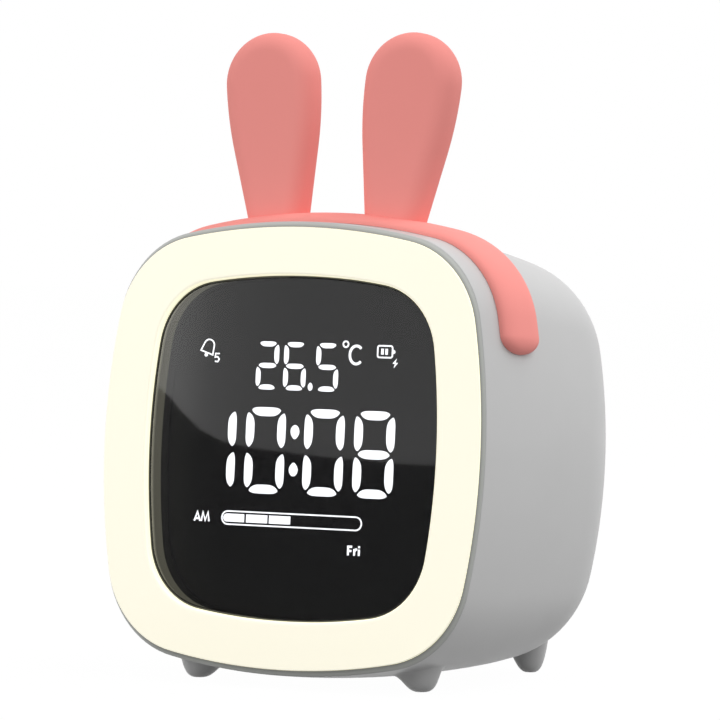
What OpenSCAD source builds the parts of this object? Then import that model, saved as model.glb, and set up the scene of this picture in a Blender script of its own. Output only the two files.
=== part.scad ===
// Bedside clock for a child's room: a soft square barrel that leans back on four stub feet, a light
// ring round a recessed display, and a soft headband with two long ears that lifts off the top.
// Each piece is drawn in the clock's own frame: X to the right, Y from the front face to the back and
// Z up, with its origin at the centre of the front face. stand() leans that frame back on the feet.

/* [Front face] */
// Width of the light ring
face_w = 82; // [78:0.5:88]
// Height of the light ring
face_h = 85.4; // [82:0.2:92]
// Width of the light ring's face, all round
ring_w = 9.3; // [8.8:0.1:10]
// Radius of the bowed sides
side_r = 128; // [110:1:200]
// Radius of the ring's outer corners
corner_r = 18.2; // [16:0.1:22]
// Radius of the display window's corners
window_corner_r = 13.4; // [11:0.1:16]

/* [Barrel] */
// Depth from the front face to the rear face
body_d = 70; // [68:1:78]
// Thickness of the housing's wall
wall = 2; // [1.6:0.1:2.4]
// How far the sides swell at mid depth
side_swell = 0.8; // [0:0.1:2]
// How far the top and bottom swell at mid depth
top_swell = 2.3; // [1.6:0.1:3]
// How much lower the back is than the front, at the top and at the bottom
rear_taper = 4.9; // [3:0.1:5.4]
// Length of the rounding at the back, along the depth
back_round_d = 22; // [18:1:26]
// Reach of the rounding at the back, from each side inwards
back_round_w = 14; // [12:0.5:14.5]
// Angle that the clock leans back
lean = 3.7; // [0:0.1:5]
// Height of the front face's centre above the floor
face_height = 46.4; // [46:0.1:50]

/* [Feet] */
// Distance between the left and right feet
foot_spacing_x = 49; // [40:1:54]
// Distance from the front face's centre line back to the front feet
foot_front_y = 10.1; // [9:0.1:14]
// Distance between the front and rear feet
foot_spacing_y = 48.7; // [40:0.1:50]
// Radius of a foot
foot_r = 3.3; // [2.6:0.1:4]
// Radius of the flat that a foot stands on
foot_tip_r = 1.1; // [0.8:0.1:2]

/* [Headband and ears] */
// Width of the headband
band_w = 14.6; // [11:0.1:16]
// Thickness of the headband
band_t = 2.2; // [1.8:0.1:3]
// Depth of the headband's and ears' middle plane behind the front face
band_y = 15.9; // [14:0.1:20]
// Height of the headband's ends above the centre of the front face
band_end_z = 19.5; // [14:0.5:24]
// Gap between the headband and the housing
band_gap = 0.25; // [0.2:0.05:0.5]
// Radius of an ear's round head
ear_r = 9.9; // [8:0.1:11]
// Height of an ear's round head above the centre of the front face
ear_head_z = 72; // [66:0.1:80]
// Distance of an ear's round head from the middle
ear_head_x = 15.45; // [13.5:0.05:18]
// Angle that each ear splays outwards
ear_splay = 5.5; // [0:0.5:9]
// Thickness of an ear
ear_t = 8; // [6:0.5:9]

/* [Display and light ring] */
// Depth of the lens behind the front face
lens_y = 1.5; // [1:0.1:2]
// Thickness of the smoked lens
lens_t = 1.7; // [1:0.1:2.4]
// Thickness of the light ring's front wall
ring_t = 2; // [1.2:0.1:2.4]
// Thickness of the light ring's skirts
skirt_t = 1.5; // [1:0.1:1.8]
// Depth of the light ring's inner skirt behind the front face
inner_skirt_y = 6.8; // [6:0.1:8]
// Width of the display aperture
aperture_w = 60.8; // [58:0.2:61]
// Height of the display aperture
aperture_h = 66; // [62:0.2:66.2]
// Thickness of the liquid crystal panel
lcd_t = 2; // [1.4:0.1:2.8]
// Number of lamps along each side of the ring
lamps_per_side = 4; // [2:1:4]

/* [Rear panel] */
// Width of the rear cover
cover_w = 49; // [47:0.5:50]
// Height of the rear cover
cover_h = 44; // [43:0.5:45]
// Thickness of the rear cover
cover_t = 2.2; // [1.8:0.1:2.6]
// Distance between neighbouring buttons
button_pitch = 8; // [7.6:0.1:8.2]
// Radius of a button's cap
button_r = 2.9; // [2.4:0.1:3]
// Travel of a button
button_travel = 0.5; // [0.3:0.1:0.8]
// How far a button stands out of the rear cover
button_proud = 0.9; // [0.7:0.1:1.4]
// Radius of the loudspeaker
speaker_r = 10; // [8:0.5:10]
// Radius of a sound hole
sound_hole_r = 0.75; // [0.5:0.05:0.9]

/* [Hidden] */
$fn = 64;

// Colours
shell_white = [0.93, 0.93, 0.93];
warm_cream = [1, 0.98, 0.88];
coral = [0.93, 0.57, 0.53];
smoke = [0.12, 0.12, 0.12, 0.6];
soft_black = [0.1, 0.1, 0.1];
board_green = [0.1, 0.36, 0.22];
steel = [0.75, 0.76, 0.78];
copper = [0.8, 0.5, 0.3];

// Clearances
slip = 0.15;      // between parts that are pushed into each other
seat = 0.05;      // between faces that rest on each other
hole_slack = 0.2; // round a screw in a clearance hole
thread_slack = 0.02; // round a screw in its own threaded hole

// Front face
half_w = face_w / 2;
half_h = face_h / 2;
corner_loss = (corner_r - window_corner_r) / ring_w;
band_y0 = 0.6;       // front of the frame's visible band
band_end = 1.4;      // parting line between the frame and the housing
band_flare = 0.65;   // how far the band widens towards the housing
lip_t = 1.2;         // thickness of the frame's lip inside the housing
lip_depth = 4.4;     // length of that lip
lip_out = -wall + band_flare - slip;
lip_in = lip_out - lip_t;
skirt_out = lip_in - seat;
skirt_in = skirt_out - skirt_t;
trim_t = 0.5;

// Stack behind the window: the lamp board fills the channel between the ring's skirts, and the
// carrier closes that channel from behind
lamp_h = 0.8;
lamp_w = 2.2;
lamp_l = 3.2;
lamp_board_t = 1;
carrier_y = inner_skirt_y + seat;
carrier_t = 0.8;
lamp_board_y = carrier_y - seat - lamp_board_t;
lamp_y = lamp_board_y - lamp_h;
outer_skirt_y = lamp_board_y - seat;
channel_mid = (skirt_in + skirt_t - ring_w) / 2;
lcd_y = carrier_y + carrier_t + seat;
lcd_w = aperture_w + 0.8;
lcd_h = aperture_h + 0.8;
lcd_cut = 3;
backlight_t = 3.2;
backlight_y = lcd_y + lcd_t + seat;
board_y = backlight_y + backlight_t + 1.5;
board_t = 1.6;
board_back = board_y + board_t;
rib_t = 1.2;
strip_h = 2.2;
strip_gap = 0.8;

// Screws of the front stack, in the ring's channel, and of the main board
screw_r = 0.9;
pilot_r = screw_r + thread_slack;
screw_grip = 4;       // length of a screw in its post
frame_screw_grip = 8;
head_r = 1.6;
head_h = 1.1;
frame_screw_z = 14;
frame_screw_x = half_w + channel_mid - side_fall(frame_screw_z);
frame_boss_r = 2.6;
frame_boss_l = 12;
board_screw_x = 20;
board_post_r = 2;
board_screw_z = lcd_h / 2 + slip + board_post_r;
board_margin = 3.8;
side_rib_l = 2 * (frame_screw_z - frame_boss_r - 1);
top_rib_l = 2 * board_screw_x;

// Rear panel
button_count = 5;
cover_y = body_d - cover_t;
cover_corner_r = 8;
ledge_w = 1.8;
ledge_t = 1.75;
cover_screw_x = cover_w / 2 - 5;
cover_screw_z = cover_h / 2 - 5;
cover_boss_r = 3;
cover_boss_l = 9;
button_z = 8;
switch_w = 6;
switch_h = 3.2;
plunger_r = 1.75;
plunger_h = 0.7;
button_flange_t = 1;
button_stem_r = 1.5;
button_stem_l = 1.1;
plunger_y = cover_y - seat - button_flange_t - button_stem_l - button_travel - seat;
switch_y = plunger_y - plunger_h - switch_h;
button_board_t = 1.6;
button_board_y = switch_y - button_board_t;
button_post_x = 8;
button_post_z = 14.6;
button_post_r = 1.9;
speaker_x = -8;
speaker_z = -8;
gasket_t = 0.5;
speaker_d = 5.5;
speaker_y = cover_y - gasket_t - speaker_d - 2 * seat;
basket_y = 1.6;
magnet_r = speaker_r / 2;
usb_x = 13;
usb_z = -8;
usb_w = 9;
usb_h = 3.2;
usb_l = 7.4;
usb_y = body_d - 0.4 - usb_l;
usb_board_w = 14;
usb_board_t = 1.2;
usb_board_l = 9;
usb_board_y = cover_y - seat - usb_board_l;
usb_board_z = usb_z - (usb_h + usb_board_t) / 2 - seat;
usb_rail_w = 1.2;
usb_rail_h = 1;

// On the back of the main board: places are distances to the right and up from its middle
socket_h = 4;
socket_d = 1.5;
speaker_socket = [-24, -24];
charge_socket = [13, -32];
battery_socket = [-24, -6];
ribbon_socket = [6, -3];
ribbon_w = 8;
ribbon_t = 0.3;
chip_at = [4, -14];
chip_w = 10;
cans_at = [[-6, -28], [-12, -28]];
can_r = 2.5;
can_l = 5.5;
crystal_at = [15, -20];
chips_at = [-14, -20];
tap_at = [22, -27];
tap_r = 2.4;
tap_l = 7;
sensor_at = [24, -12];
sensor_r = 1.4;
sensor_l = 7.8;
tape_t = 1;
battery_w = 40;
battery_h = 30;
battery_t = 10;
battery_fold = 2;
battery_z = 3;
battery_y = board_back + tape_t + 2 * seat;
wire_r = 0.55;
wire_gap = 0.7;
battery_lead_out = [0, 7, 0];
battery_lead_in = [0, 0, 5];
lead_steps = 16;

// Feet
foot_dome_h = 3;
foot_l = 12;         // reaches into the housing's wall, where the cavity trims it

// Outline resolution: points per quarter turn, with the share of each quarter on one half side
quarter_steps = 20;
side_share = 0.35;
back_steps = 8;
barrel_steps = 6;

// The model's origin lies on the floor, midway between the ring's lowest edge, which is foremost,
// and the buttons, which are rearmost
front_reach = -half_h * sin(lean);
rear_reach = (body_d + button_proud) * cos(lean) + button_z * sin(lean);
origin_y = (front_reach + rear_reach) / 2;

// ---- Outlines -------------------------------------------------------------------------------

// How far a bowed side has fallen back at the distance a from its middle
function side_fall(a) = side_r - sqrt(side_r * side_r - a * a);

// Centre of a corner arc that is tangent to two side arcs, on the diagonal
function corner_centre(h, r_side, r_corner) =
    let (m = h - r_side)
    (m + sqrt(2 * pow(r_side - r_corner, 2) - m * m)) / 2;

// Half the angle that a side arc spans
function side_sweep(h, r_side, r_corner) =
    let (k = corner_centre(h, r_side, r_corner))
    atan2(k, k - h + r_side);

// Direction of the outline's normal at the share t of a quarter turn
function quarter_angle(t, sweep) =
    t < side_share ? sweep * t / side_share
    : t > 1 - side_share ? 90 - sweep * (1 - t) / side_share
    : sweep + (90 - 2 * sweep) * (t - side_share) / (1 - 2 * side_share);

// Point of the bowed square where its normal points along angle a
function outline_at(h, v, r_corner, a, r_side = side_r) =
    let (m = h - r_side, k = corner_centre(h, r_side, r_corner))
    let (sweep = side_sweep(h, r_side, r_corner), c = abs(cos(a)), s = abs(sin(a)))
    let (fold = atan2(s, c))
    let (p = fold < sweep ? [m + r_side * c, r_side * s]
        : fold > 90 - sweep ? [r_side * c, m + r_side * s]
        : [k + r_corner * c, k + r_corner * s])
    [p.x * sign(cos(a)), p.y * sign(sin(a)) * v / h];

// Bowed square with half width h and half height v
function outline(h, v, r_corner, r_side = side_r) =
    let (sweep = side_sweep(h, r_side, r_corner))
    [for (q = [0 : 3], i = [0 : quarter_steps - 1])
        outline_at(h, v, r_corner, 90 * q + quarter_angle(i / quarter_steps, sweep), r_side)];

// Outline of the front face moved outwards by out; its corners follow the window's
function face_outline(out) = outline(half_w + out, half_h + out, corner_r + out * corner_loss);

// A flat outline as a ring of points at depth y
function ring_at(points, y) = [for (p = points) [p.x, y, p.y]];

// ---- Shape of the barrel --------------------------------------------------------------------

function depth_share(y) = (y - band_end) / (body_d - band_end);
function hump(y) = 4 * depth_share(y) * (1 - depth_share(y));
function round_in(y, end, reach, into) =
    y <= end - reach ? 0 : into * (1 - sqrt(max(0, 1 - pow((y - end + reach) / reach, 2))));
function barrel_half_w(y) = half_w + band_flare + side_swell * hump(y);
function barrel_half_h(y) =
    half_h + band_flare + top_swell * hump(y) - rear_taper * depth_share(y);
function skin_half_w(y) = barrel_half_w(y) - round_in(y, body_d, back_round_d, back_round_w);
function skin_half_h(y) = barrel_half_h(y) - round_in(y, body_d, back_round_d, back_round_w);

// Depths at which the barrel is cut into rings, ending in the rounding before depth end
function barrel_depths(end, reach) = concat(
    [for (i = [0 : barrel_steps]) band_end + (end - reach - band_end) * i / barrel_steps],
    [for (i = [1 : back_steps]) end - reach + reach * sin(90 * i / back_steps)]);

// Ring of the housing's outer skin at depth y
function skin_ring(y) = ring_at(outline(skin_half_w(y), skin_half_h(y), corner_r), y);

// Ring of the housing's inner skin, which has its own rounding in front of the ledge
function cave_ring(y, end, reach) =
    let (into = round_in(y, end, reach, back_round_w - wall))
    ring_at(outline(barrel_half_w(y) - wall - into, barrel_half_h(y) - wall - into,
        corner_r - wall), y);

// Closed skin round a row of rings; capped = false joins the last ring to the first
module loft(rings, capped = true) {
    n = len(rings[0]);
    m = len(rings);
    last = capped ? m - 2 : m - 1;
    sides = [for (j = [0 : last], i = [0 : n - 1])
        let (k = (i + 1) % n, up = ((j + 1) % m) * n)
        each [[j * n + i, j * n + k, up + k], [j * n + i, up + k, up + i]]];
    caps = capped ? [[for (i = [n - 1 : -1 : 0]) i], [for (i = [0 : n - 1]) (m - 1) * n + i]] : [];
    polyhedron([for (r = rings) each r], concat(sides, caps), convexity = 6);
}

// Plate with outline points in X and Z, from depth y, t thick
module plate(points, y, t) {
    translate([0, y + t, 0])
        rotate([90, 0, 0])
            linear_extrude(t)
                polygon(points);
}

// Round bar along the depth, from depth y
module bar(r, y, l) {
    translate([0, y, 0])
        rotate([-90, 0, 0])
            cylinder(r = r, h = l);
}

// Box given by its middle in X and Z and its front in Y
module block(size, y) {
    translate([-size.x / 2, y, -size.z / 2])
        cube(size);
}

module at(x, z) {
    translate([x, 0, z])
        children();
}

// Children at plus and minus x and z
module four(x, z) {
    for (sx = [-1, 1], sz = [-1, 1])
        at(sx * x, sz * z)
            children();
}

module pair(x, z) {
    for (sx = [-1, 1])
        at(sx * x, z)
            children();
}

// Leans the clock back and puts it on the floor, with the origin under its middle
module stand() {
    translate([0, -origin_y, face_height])
        rotate([-lean, 0, 0])
            children();
}

// Pan head screw whose head ends at depth y and whose shank runs backwards, or forwards with dir = -1
module screw(y, l, dir = 1) {
    translate([0, y, 0])
        rotate([dir * -90, 0, 0]) {
            difference() {
                translate([0, 0, -head_h])
                    cylinder(r = head_r, h = head_h);
                for (a = [0, 90])
                    rotate(a)
                        translate([-head_r * 0.6, -0.25, -head_h - 1])
                            cube([head_r * 1.2, 0.5, 1.6]);
            }
            cylinder(r = screw_r, h = l);
        }
}

// ---- Shell and front ------------------------------------------------------------------------

module foot() {
    rotate_extrude()
        polygon(concat([[0, 0]],
            [for (a = [0 : 15 : 90])
                [foot_tip_r + (foot_r - foot_tip_r) * sin(a), foot_dome_h * (1 - cos(a))]],
            [[foot_r, foot_l], [0, foot_l]]));
}

module feet() {
    for (x = [-1, 1], y = [foot_front_y, foot_front_y + foot_spacing_y])
        translate([x * foot_spacing_x / 2, y - origin_y, 0])
            foot();
}

// The cavity, open at the front, with the rear opening and the seat of the rear cover
module cavity() {
    ledge_y = cover_y - seat;
    cave_end = ledge_y - ledge_t;
    cave_reach = back_round_d - wall;
    cut_w = cover_w / 2 + slip;
    cut_h = cover_h / 2 + slip;
    depths = concat([band_end - 1], barrel_depths(cave_end, cave_reach));
    loft([for (y = depths) cave_ring(y, cave_end, cave_reach)]);
    plate(outline(cut_w - ledge_w, cut_h - ledge_w, cover_corner_r + slip - ledge_w),
        cave_end - 1, ledge_t + 2);
    plate(outline(cut_w, cut_h, cover_corner_r + slip), ledge_y, cover_t + 1);
}

// Posts inside the housing: four for the front stack, each on a rib, and four for the rear cover
module housing_posts() {
    post_y = carrier_y + carrier_t + seat;
    rib_l = half_w + band_flare - wall / 2 - side_fall(frame_screw_z) - frame_screw_x;
    four(frame_screw_x, frame_screw_z)
        bar(frame_boss_r, post_y, frame_boss_l);
    for (s = [-1, 1], z = [-1, 1])
        at(s * (frame_screw_x + rib_l / 2), z * frame_screw_z)
            block([rib_l, frame_boss_l, rib_t], post_y);
    four(cover_screw_x, cover_screw_z)
        bar(cover_boss_r, cover_y - seat - cover_boss_l, cover_boss_l);
}

module housing() {
    color(shell_white)
        difference() {
            union() {
                difference() {
                    union() {
                        stand()
                            loft([for (y = barrel_depths(body_d, back_round_d)) skin_ring(y)]);
                        feet();
                    }
                    stand()
                        cavity();
                }
                stand()
                    housing_posts();
            }
            stand() {
                four(frame_screw_x, frame_screw_z)
                    bar(pilot_r, carrier_y + carrier_t, frame_boss_l - 1);
                four(cover_screw_x, cover_screw_z)
                    bar(pilot_r, cover_y - cover_boss_l + 1, cover_boss_l + 1);
            }
        }
}

module front_frame() {
    profile = [[0.05, band_y0], [band_flare, band_end], [lip_out, band_end],
        [lip_out, band_end + lip_depth], [lip_in, band_end + lip_depth], [lip_in, band_y0]];
    color(shell_white)
        stand()
            loft([for (p = profile) ring_at(face_outline(p.x), p.y)], capped = false);
}

module light_ring() {
    rim = band_y0 - seat;
    edge_r = 0.35;
    mouth_r = 1.3;
    inner_skirt = skirt_t - ring_w;
    profile = concat(
        [for (a = [0 : 30 : 90]) [edge_r * (sin(a) - 1), edge_r * (1 - cos(a))]],
        [[0, rim], [skirt_out, rim], [skirt_out, outer_skirt_y], [skirt_in, outer_skirt_y],
            [skirt_in, ring_t], [inner_skirt, ring_t], [inner_skirt, inner_skirt_y],
            [-ring_w, inner_skirt_y]],
        [for (a = [0 : 22.5 : 90]) [-ring_w + mouth_r * (1 - cos(a)), mouth_r * (1 - sin(a))]]);
    color(warm_cream)
        stand()
            loft([for (p = profile) ring_at(face_outline(p.x), p.y)], capped = false);
}

module lens_trim() {
    color(soft_black)
        stand()
            difference() {
                plate(face_outline(-ring_w - seat), lens_y, lens_t + 0.1);
                plate(face_outline(-ring_w - seat - trim_t), lens_y - 1, lens_t + 2);
            }
}

module display_lens() {
    color(smoke)
        stand()
            plate(face_outline(-ring_w - trim_t - 2 * seat), lens_y, lens_t);
}

// ---- Display stack --------------------------------------------------------------------------

module display_carrier() {
    rib_l = lcd_w / 2 + slip;
    rib_h = lcd_h / 2 + slip;
    rib_d = lcd_t + backlight_t + 2 * seat;
    rib_y = carrier_y + carrier_t;
    color(soft_black)
        stand()
            difference() {
                union() {
                    plate(face_outline(skirt_out - seat), carrier_y, carrier_t);
                    for (s = [-1, 1]) {
                        at(s * (rib_l + rib_t / 2), 0)
                            block([rib_t, rib_d, side_rib_l], rib_y - seat);
                        at(0, s * (rib_h + rib_t / 2))
                            block([top_rib_l, rib_d, rib_t], rib_y - seat);
                    }
                    four(board_screw_x, board_screw_z)
                        bar(board_post_r, rib_y - seat, board_y - rib_y);
                }
                plate(outline(aperture_w / 2, aperture_h / 2, window_corner_r), carrier_y - 1,
                    carrier_t + 1.5);
                four(frame_screw_x, frame_screw_z)
                    bar(screw_r + hole_slack, carrier_y - 1, carrier_t + 2);
                four(board_screw_x, board_screw_z)
                    bar(pilot_r, carrier_y + carrier_t + 0.5, board_y);
            }
}

module lcd_panel() {
    w = lcd_w / 2;
    h = lcd_h / 2;
    corners = [[w - lcd_cut, -h], [w, lcd_cut - h], [w, h - lcd_cut], [w - lcd_cut, h],
        [lcd_cut - w, h], [-w, h - lcd_cut], [-w, lcd_cut - h], [lcd_cut - w, -h]];
    color([0.16, 0.17, 0.18])
        stand()
            plate(corners, lcd_y, lcd_t);
}

module backlight_panel() {
    low = -lcd_h / 2 + strip_h + 2 * strip_gap;
    high = lcd_h / 2 - 1;
    color([0.96, 0.96, 0.94])
        stand()
            at(0, (low + high) / 2)
                block([lcd_w - 2, backlight_t, high - low], backlight_y);
}

module lcd_contact_strip() {
    strip_y = lcd_y + lcd_t + seat;
    color([0.85, 0.45, 0.5])
        stand()
            at(0, -lcd_h / 2 + strip_gap + strip_h / 2)
                block([lcd_w - 10, board_y - seat - strip_y, strip_h], strip_y);
}

module lamp_board() {
    color([0.95, 0.95, 0.93])
        stand()
            difference() {
                plate(face_outline(skirt_out - seat), lamp_board_y, lamp_board_t);
                plate(face_outline(skirt_t - ring_w + slip), lamp_board_y - 1, lamp_board_t + 2);
                four(frame_screw_x, frame_screw_z)
                    bar(screw_r + hole_slack, lamp_board_y - 1, lamp_board_t + 2);
            }
}

// Lamps sit on a line midway between the ring's two skirts, as many along each side
module night_lamps() {
    color([1, 0.95, 0.6])
        stand()
            for (i = [0 : lamps_per_side - 1], s = [-1, 1]) {
                along = (i - (lamps_per_side - 1) / 2) * frame_screw_z;
                at(s * (half_w + channel_mid - side_fall(along)), along)
                    block([lamp_w, lamp_h, lamp_l], lamp_y);
                at(along, s * (half_h + channel_mid - side_fall(along)))
                    block([lamp_l, lamp_h, lamp_w], lamp_y);
            }
}

module frame_screws() {
    color(steel)
        stand()
            four(frame_screw_x, frame_screw_z)
                screw(lamp_board_y - seat, lamp_board_t + carrier_t + frame_screw_grip);
}

// ---- Main board -----------------------------------------------------------------------------

module main_board() {
    board_half_w = frame_screw_x - frame_boss_r - 0.6;
    board_half_h = board_screw_z + board_margin;
    color(board_green)
        stand()
            difference() {
                plate(outline(board_half_w, board_half_h, 9), board_y, board_t);
                four(board_screw_x, board_screw_z)
                    bar(screw_r + hole_slack, board_y - 1, board_t + 2);
            }
}

module board_screws() {
    color(steel)
        stand()
            four(board_screw_x, board_screw_z)
                screw(board_back + seat, board_t + screw_grip, -1);
}

module clock_chip() {
    color(soft_black)
        stand()
            at(chip_at.x, chip_at.y) {
                block([chip_w, 1.6, chip_w], board_back + 0.2);
                for (a = [0 : 90 : 270], i = [-3.5 : 1 : 3.5])
                    rotate([0, a, 0])
                        at(chip_w / 2 + 0.5, i)
                            block([1.6, 0.3, 0.4], board_back);
            }
}

// Two capacitor cans, the timing crystal and a row of small parts
module board_parts() {
    color([0.35, 0.38, 0.45])
        stand() {
            for (p = cans_at)
                at(p.x, p.y)
                    bar(can_r, board_back, can_l);
            at(crystal_at.x, crystal_at.y)
                block([3.2, 1.4, 7], board_back);
            for (i = [0 : 4])
                at(chips_at.x + 3 * i, chips_at.y)
                    block([1.6, 0.8, 0.9], board_back);
        }
}

// Can of the switch that feels a tap on the clock, lying on two leads bent up from the board
module tap_sensor() {
    color(copper)
        stand()
            at(tap_at.x, tap_at.y) {
                translate([0, board_back + tap_r + 1, -tap_l / 2])
                    cylinder(r = tap_r, h = tap_l);
                for (z = [-1, 1])
                    at(0, z * (tap_l / 2 - 1))
                        bar(0.3, board_back, tap_r + 1);
            }
}

module temperature_sensor() {
    color([0.2, 0.2, 0.22])
        stand()
            at(sensor_at.x, sensor_at.y) {
                for (x = [-0.8, 0.8])
                    at(x, 0)
                        bar(0.25, board_back, sensor_l);
                translate([0, board_back + sensor_l, 0])
                    sphere(r = sensor_r);
            }
}

// Wire sockets on the back of the main board, one for each cable
module board_sockets() {
    color([0.95, 0.94, 0.9])
        stand()
            for (p = [speaker_socket, charge_socket, battery_socket, ribbon_socket]) {
                inner = p == ribbon_socket ? ribbon_w + 0.4 : 3.2;
                at(p.x, p.y)
                    difference() {
                        block([inner + 1.6, socket_h, 3.2], board_back);
                        block([inner, socket_d + 1, 1.6], board_back + socket_h - socket_d);
                    }
            }
}

// Flat cell, with narrower sides where its pouch is folded round
module battery_cell() {
    color([0.45, 0.55, 0.72])
        stand()
            at(0, battery_z + battery_h / 2) {
                block([battery_w - 2 * battery_fold, battery_t, battery_h], battery_y);
                block([battery_w, battery_t - battery_fold, battery_h - 1],
                    battery_y + battery_fold / 2);
            }
}

module battery_tape() {
    color([0.95, 0.95, 0.95])
        stand()
            at(0, battery_z + battery_h / 2)
                block([battery_w - 8, tape_t, battery_h - 6], board_back + seat);
}

// ---- Wires ----------------------------------------------------------------------------------

function unit(v) = v / norm(v);

// Point at the share t of a smooth route that leaves a along out and reaches b along into
function route(a, out, b, into, t) =
    pow(1 - t, 3) * a + 3 * pow(1 - t, 2) * t * (a + out)
    + 3 * (1 - t) * t * t * (b - into) + pow(t, 3) * b;

function route_points(a, out, b, into) =
    [for (i = [0 : lead_steps]) route(a, out, b, into, i / lead_steps)];

// Ring of a wire round the point c, square to the direction d, which never runs along X
function wire_ring(c, d) =
    let (a = unit(cross(d, [1, 0, 0])), b = cross(a, unit(d)))
    [for (k = [0 : 7]) c + wire_r * (cos(45 * k) * a + sin(45 * k) * b)];

module lead(a, out, b, into) {
    p = route_points(a, out, b, into);
    n = len(p) - 1;
    loft([for (i = [0 : n])
        wire_ring(p[i], i == 0 ? out : i == n ? into : p[i + 1] - p[i - 1])]);
}

// Where a wire that is pushed into a socket on the main board starts
function socket_end(socket) = [socket.x, board_back + socket_h - socket_d + seat, socket.y];

// Half of the way from a to b along the depth
function half_way(a, b) = [0, (b.y - a.y) / 2, 0];

// Two leads, side by side, from a socket on the main board
module lead_pair(socket, out, b, into) {
    for (s = [-wire_gap, wire_gap])
        lead(socket_end(socket) + [s, 0, 0], out, b + [s, 0, 0], into);
}

// Two leads from a socket straight back to b
module long_lead_pair(socket, b) {
    out = half_way(socket_end(socket), b);
    lead_pair(socket, out, b, out);
}

// They end on the cell's lower edge
module battery_leads() {
    color([0.8, 0.15, 0.12])
        stand()
            lead_pair(battery_socket, battery_lead_out,
                [4 - battery_w / 2, battery_y + battery_t / 2, battery_z - seat],
                battery_lead_in);
}

// They end on the loudspeaker's basket
module speaker_leads() {
    color([0.15, 0.15, 0.17])
        stand()
            long_lead_pair(speaker_socket,
                [speaker_x - magnet_r - 2 * wire_gap, speaker_y + basket_y - seat, speaker_z]);
}

// They end on the front edge of the charging board
module charge_leads() {
    color([0.8, 0.15, 0.12])
        stand()
            long_lead_pair(charge_socket, [usb_x, usb_board_y - seat, usb_board_z]);
}

// Flat flexible cable from the main board back to the button board
module ribbon_cable() {
    a = socket_end(ribbon_socket);
    b = [0, button_board_y - seat, button_z - 2];
    p = route_points(a, half_way(a, b), b, half_way(a, b));
    side = [0, 0, ribbon_t / 2];
    color([0.9, 0.9, 0.86])
        stand()
            translate([ribbon_socket.x - ribbon_w / 2, 0, 0])
                rotate([90, 0, 90])
                    linear_extrude(ribbon_w)
                        polygon(concat(
                            [for (i = [0 : lead_steps]) [(p[i] + side).y, (p[i] + side).z]],
                            [for (i = [lead_steps : -1 : 0]) [(p[i] - side).y, (p[i] - side).z]]));
}

// ---- Rear panel -----------------------------------------------------------------------------

function button_x(i) = (i - (button_count - 1) / 2) * button_pitch;

module sound_holes() {
    pitch = 2.4;
    at(speaker_x, speaker_z)
        for (ring = [0 : 3], k = [0 : max(0, 6 * ring - 1)])
            at(ring * pitch * cos(60 * k / max(1, ring)), ring * pitch * sin(60 * k / max(1, ring)))
                bar(sound_hole_r, cover_y - 1, cover_t + 2);
}

module rear_cover() {
    usb_slot = usb_h / 2 + slip;
    rail_x = (usb_board_w + usb_rail_w) / 2 + seat;
    color(shell_white)
        stand()
            difference() {
                union() {
                    plate(outline(cover_w / 2, cover_h / 2, cover_corner_r), cover_y, cover_t);
                    pair(button_post_x, button_post_z)
                        bar(button_post_r, button_board_y + button_board_t + seat,
                            cover_y - button_board_y - button_board_t);
                    for (s = [-1, 1])
                        at(usb_x + s * rail_x, usb_board_z)
                            block([usb_rail_w, usb_board_l + 2 * seat, usb_board_t + 2 * usb_rail_h],
                                usb_board_y);
                }
                for (i = [0 : button_count - 1])
                    at(button_x(i), button_z)
                        bar(button_r + slip, cover_y - 1, cover_t + 2);
                sound_holes();
                for (s = [-1, 1])
                    at(usb_x + s * (usb_w / 2 - usb_h / 2), usb_z)
                        bar(usb_slot, cover_y - 1, cover_t + 2);
                at(usb_x, usb_z)
                    block([usb_w - usb_h, cover_t + 2, 2 * usb_slot], cover_y - 1);
                four(cover_screw_x, cover_screw_z) {
                    bar(screw_r + hole_slack, cover_y - 1, cover_t + 2);
                    bar(head_r + hole_slack, body_d - head_h - 0.1, 2);
                }
                pair(button_post_x, button_post_z)
                    bar(pilot_r, button_board_y, cover_y - button_board_y - 1);
            }
}

module cover_screws() {
    color(steel)
        stand()
            four(cover_screw_x, cover_screw_z)
                screw(body_d - 0.1 - head_h, cover_t + screw_grip, -1);
}

module button_board() {
    span = (button_count - 1) * button_pitch + switch_w + 1.4;
    reach = button_post_r + 1.1;
    color(board_green)
        stand()
            difference() {
                union() {
                    at(0, button_z)
                        block([span, button_board_t, switch_w + 3], button_board_y);
                    at(0, (button_z + button_post_z + reach) / 2)
                        block([2 * (button_post_x + reach), button_board_t,
                            button_post_z + reach - button_z], button_board_y);
                }
                pair(button_post_x, button_post_z)
                    bar(screw_r + hole_slack, button_board_y - 1, button_board_t + 2);
            }
}

module button_board_screws() {
    color(steel)
        stand()
            pair(button_post_x, button_post_z)
                screw(button_board_y - seat, button_board_t + screw_grip);
}

module tact_switches() {
    color([0.25, 0.25, 0.27])
        stand()
            for (i = [0 : button_count - 1])
                at(button_x(i), button_z) {
                    block([switch_w, switch_h, switch_w], switch_y);
                    bar(plunger_r, switch_y + switch_h, plunger_h);
                }
}

// Push button: a cap with a rounded edge, a flange that holds it behind the cover, and a stem
module push_button(i) {
    flange_y = cover_y - seat - button_flange_t;
    cap_y = body_d + button_proud;
    edge = 0.4;
    color([0.86, 0.86, 0.86])
        stand()
            translate([button_x(i), 0, button_z])
                rotate([-90, 0, 0])
                    rotate_extrude()
                        polygon(concat(
                            [[0, flange_y - button_stem_l], [button_stem_r, flange_y - button_stem_l],
                                [button_stem_r, flange_y], [button_r + 0.8, flange_y],
                                [button_r + 0.8, flange_y + button_flange_t],
                                [button_r, flange_y + button_flange_t]],
                            [for (a = [0 : 30 : 90])
                                [button_r - edge * (1 - cos(a)), cap_y - edge * (1 - sin(a))]],
                            [[0, cap_y]]));
}

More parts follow.
